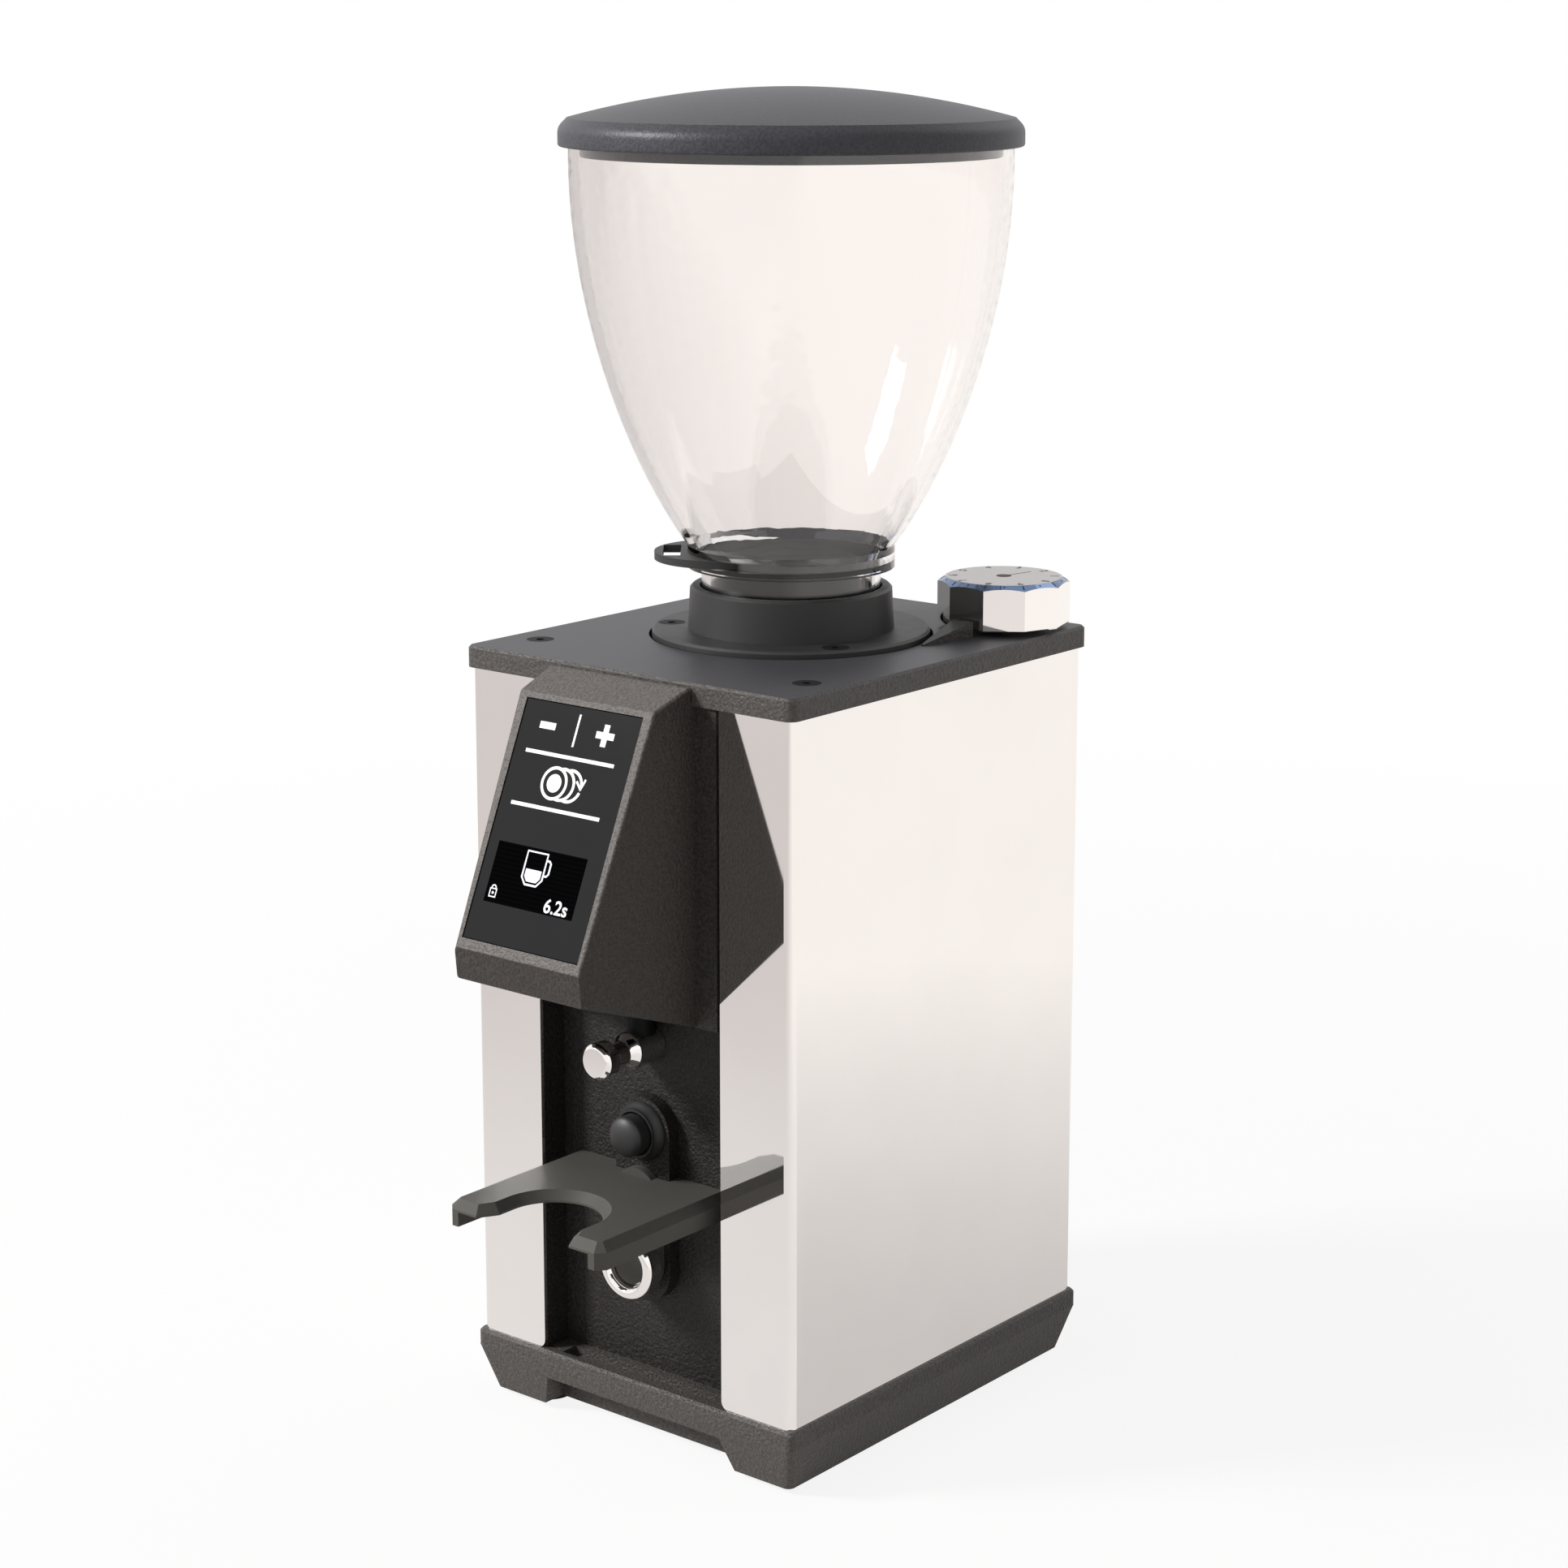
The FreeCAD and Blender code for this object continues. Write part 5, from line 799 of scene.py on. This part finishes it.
class GRINDER_OT_studio(bpy.types.Operator):
    """Pale floor, white surround, soft lamps and the camera"""
    bl_idname = "grinder.studio"
    bl_label = "Studio"

    def execute(self, context):
        self.make_floor()
        self.make_surround()
        self.make_lamp("key lamp", (-1.38, -1.53, 1.4), 0.5, 62.0)
        self.make_lamp("fill lamp", (1.9, -0.9, 1.5), 1.6, 1.0)
        self.make_lamp("rim lamp", (0.6, 2.0, 1.9), 1.6, 6.0)
        self.make_camera()
        context.scene.view_settings.view_transform = "Standard"
        return {"FINISHED"}

    def make_floor(self):
        """A square floor, white to the eye, that still takes a soft shadow; to metal and through glass it shows a
        painted shade, warm grey in front of the grinder and white behind it.
        """
        half = sizes().floor / 2
        mesh = bpy.data.meshes.new("studio floor")
        mesh.from_pydata([(-half, -half, 0), (half, -half, 0), (half, half, 0), (-half, half, 0)], [],
                         [(0, 1, 2, 3)])
        finish, tree, where = start_finish("pale studio floor")
        path = add(tree, "ShaderNodeLightPath")
        # Mirrors see a floor that goes from a warm grey in front of the grinder to white behind it: a painted
        # reflection of shade on the floor.
        along = add(tree, "ShaderNodeVectorMath", {0: where, 1: (0.5, 0.5, 0.0)}, operation="DOT_PRODUCT")
        shade = add(tree, "ShaderNodeMapRange", {"Value": along.outputs["Value"], "From Min": -0.3,
                                                 "From Max": 0.2})
        painted_reflection_tint = add(tree, "ShaderNodeMixRGB", {"Fac": shade.outputs["Result"], "Color1": paint("#D8D3D1"),
                                              "Color2": paint("#FFFBF8")})
        seen = add(tree, "ShaderNodeMixRGB", {"Fac": path.outputs["Is Camera Ray"],
                                              "Color1": painted_reflection_tint.outputs["Color"], "Color2": WHITE})
        glow = add(tree, "ShaderNodeEmission", {"Color": seen.outputs["Color"], "Strength": 1.0})
        matt = add(tree, "ShaderNodeBsdfDiffuse", {"Color": scaled(colours().floor)})
        # Near the grinder the floor keeps its shadow; further out it goes over to plain white.
        far = add(tree, "ShaderNodeVectorMath", {0: where}, operation="LENGTH")
        open_floor = add(tree, "ShaderNodeMapRange", {"Value": far.outputs["Value"], "From Min": 0.1,
                                                      "From Max": 0.9, "To Min": 0.88, "To Max": 1.0})
        near_floor = add(tree, "ShaderNodeMapRange", {"Value": far.outputs["Value"], "From Min": 0.1,
                                                      "From Max": 0.5, "To Min": 0.5, "To Max": 1.0})
        mirrored = add(tree, "ShaderNodeMath", {0: path.outputs["Is Glossy Ray"],
                                                1: path.outputs["Is Transmission Ray"]}, operation="MAXIMUM")
        eye = add(tree, "ShaderNodeMath", {0: path.outputs["Is Camera Ray"], 1: open_floor.outputs["Result"]},
                  operation="MULTIPLY")
        gloss = add(tree, "ShaderNodeMath", {0: mirrored.outputs["Value"], 1: near_floor.outputs["Result"]},
                    operation="MULTIPLY")
        share = add(tree, "ShaderNodeMath", {0: eye.outputs["Value"], 1: gloss.outputs["Value"]},
                    operation="MAXIMUM")
        both = add(tree, "ShaderNodeMixShader", {"Fac": share.outputs["Value"], 1: matt.outputs["BSDF"],
                                                 2: glow.outputs["Emission"]})
        add(tree, "ShaderNodeOutputMaterial", {"Surface": both.outputs["Shader"]})
        mesh.materials.append(finish)
        floor = bpy.data.objects.new("studio floor", mesh)
        bpy.context.scene.collection.objects.link(floor)

    def make_surround(self):
        """A white world: full white where it is seen or mirrored, a gentle grey as light on matt surfaces."""
        world = bpy.data.worlds.new("studio surround")
        world.use_nodes = True
        tree = world.node_tree
        tree.nodes.clear()
        path = add(tree, "ShaderNodeLightPath")
        direct = add(tree, "ShaderNodeMath", {0: path.outputs["Is Camera Ray"], 1: path.outputs["Is Glossy Ray"]},
                     operation="MAXIMUM")
        ray = add(tree, "ShaderNodeMath", {0: direct.outputs["Value"], 1: path.outputs["Is Transmission Ray"]},
                  operation="MAXIMUM")
        seen = add(tree, "ShaderNodeBackground", {"Color": WHITE, "Strength": 1.0})
        light = add(tree, "ShaderNodeBackground", {"Color": paint("#FBFAFF"), "Strength": 0.22})
        both = add(tree, "ShaderNodeMixShader", {"Fac": ray.outputs["Value"], 1: light.outputs["Background"],
                                                 2: seen.outputs["Background"]})
        add(tree, "ShaderNodeOutputWorld", {"Surface": both.outputs["Shader"]})
        bpy.context.scene.world = world

    def make_lamp(self, name, place, side, power):
        """A square soft lamp aimed at the middle of the grinder."""
        target = 0.2
        lamp = bpy.data.lights.new(name, "AREA")
        lamp.size = side
        lamp.energy = power
        holder = bpy.data.objects.new(name, lamp)
        x, y, z = place
        down = math.atan2(math.hypot(x, y), z - target)
        holder.location = place
        holder.rotation_euler = (down, 0.0, math.atan2(x, -y))
        bpy.context.scene.collection.objects.link(holder)

    def make_camera(self):
        """The photograph's viewpoint: a long lens from the front right, a little above the collar."""
        lens = bpy.data.cameras.new("photo camera")
        lens.sensor_width = 36.0
        lens.lens = 76.205
        lens.shift_y = -0.08
        lens.clip_end = 100.0
        turn, pitch = math.radians(39.2922), math.radians(11.2848)
        away, height, aside = 0.92097, 0.398457, 0.00078
        camera = bpy.data.objects.new("photo camera", lens)
        camera.location = (away * math.sin(turn) + aside * math.cos(turn),
                           -away * math.cos(turn) + aside * math.sin(turn), height)
        camera.rotation_euler = (math.pi / 2 - pitch, 0.0, turn)
        bpy.context.scene.collection.objects.link(camera)
        bpy.context.scene.camera = camera


class GRINDER_PT_sidebar(bpy.types.Panel):
    """Lists the steps that dress the grinder, with the sizes and colours they use"""
    bl_idname = "GRINDER_PT_sidebar"
    bl_label = "Coffee grinder"
    bl_space_type = "VIEW_3D"
    bl_region_type = "UI"
    bl_category = "Grinder"

    def draw(self, context):
        for operator in OPERATORS:
            self.layout.operator(operator.bl_idname)
        for group in (context.scene.grinder_sizes, context.scene.grinder_colours):
            box = self.layout.box()
            for key in group.__annotations__:
                box.prop(group, key)


OPERATORS = (GRINDER_OT_finishes, GRINDER_OT_lid, GRINDER_OT_button, GRINDER_OT_lock_knob, GRINDER_OT_hook,
             GRINDER_OT_dial, GRINDER_OT_panel_signs, GRINDER_OT_studio)
CLASSES = (GrinderSizes, GrinderColours, *OPERATORS, GRINDER_PT_sidebar)


def register():
    for item in CLASSES:
        bpy.utils.register_class(item)
    bpy.types.Scene.grinder_sizes = PointerProperty(type=GrinderSizes)
    bpy.types.Scene.grinder_colours = PointerProperty(type=GrinderColours)


def unregister():
    del bpy.types.Scene.grinder_colours
    del bpy.types.Scene.grinder_sizes
    for item in reversed(CLASSES):
        bpy.utils.unregister_class(item)


def main():
    register()
    bpy.ops.grinder.finishes()
    bpy.ops.grinder.lid()
    bpy.ops.grinder.button()
    bpy.ops.grinder.lock_knob()
    bpy.ops.grinder.hook()
    bpy.ops.grinder.dial()
    bpy.ops.grinder.panel_signs()
    bpy.ops.grinder.studio()


if __name__ == "__main__":
    main()
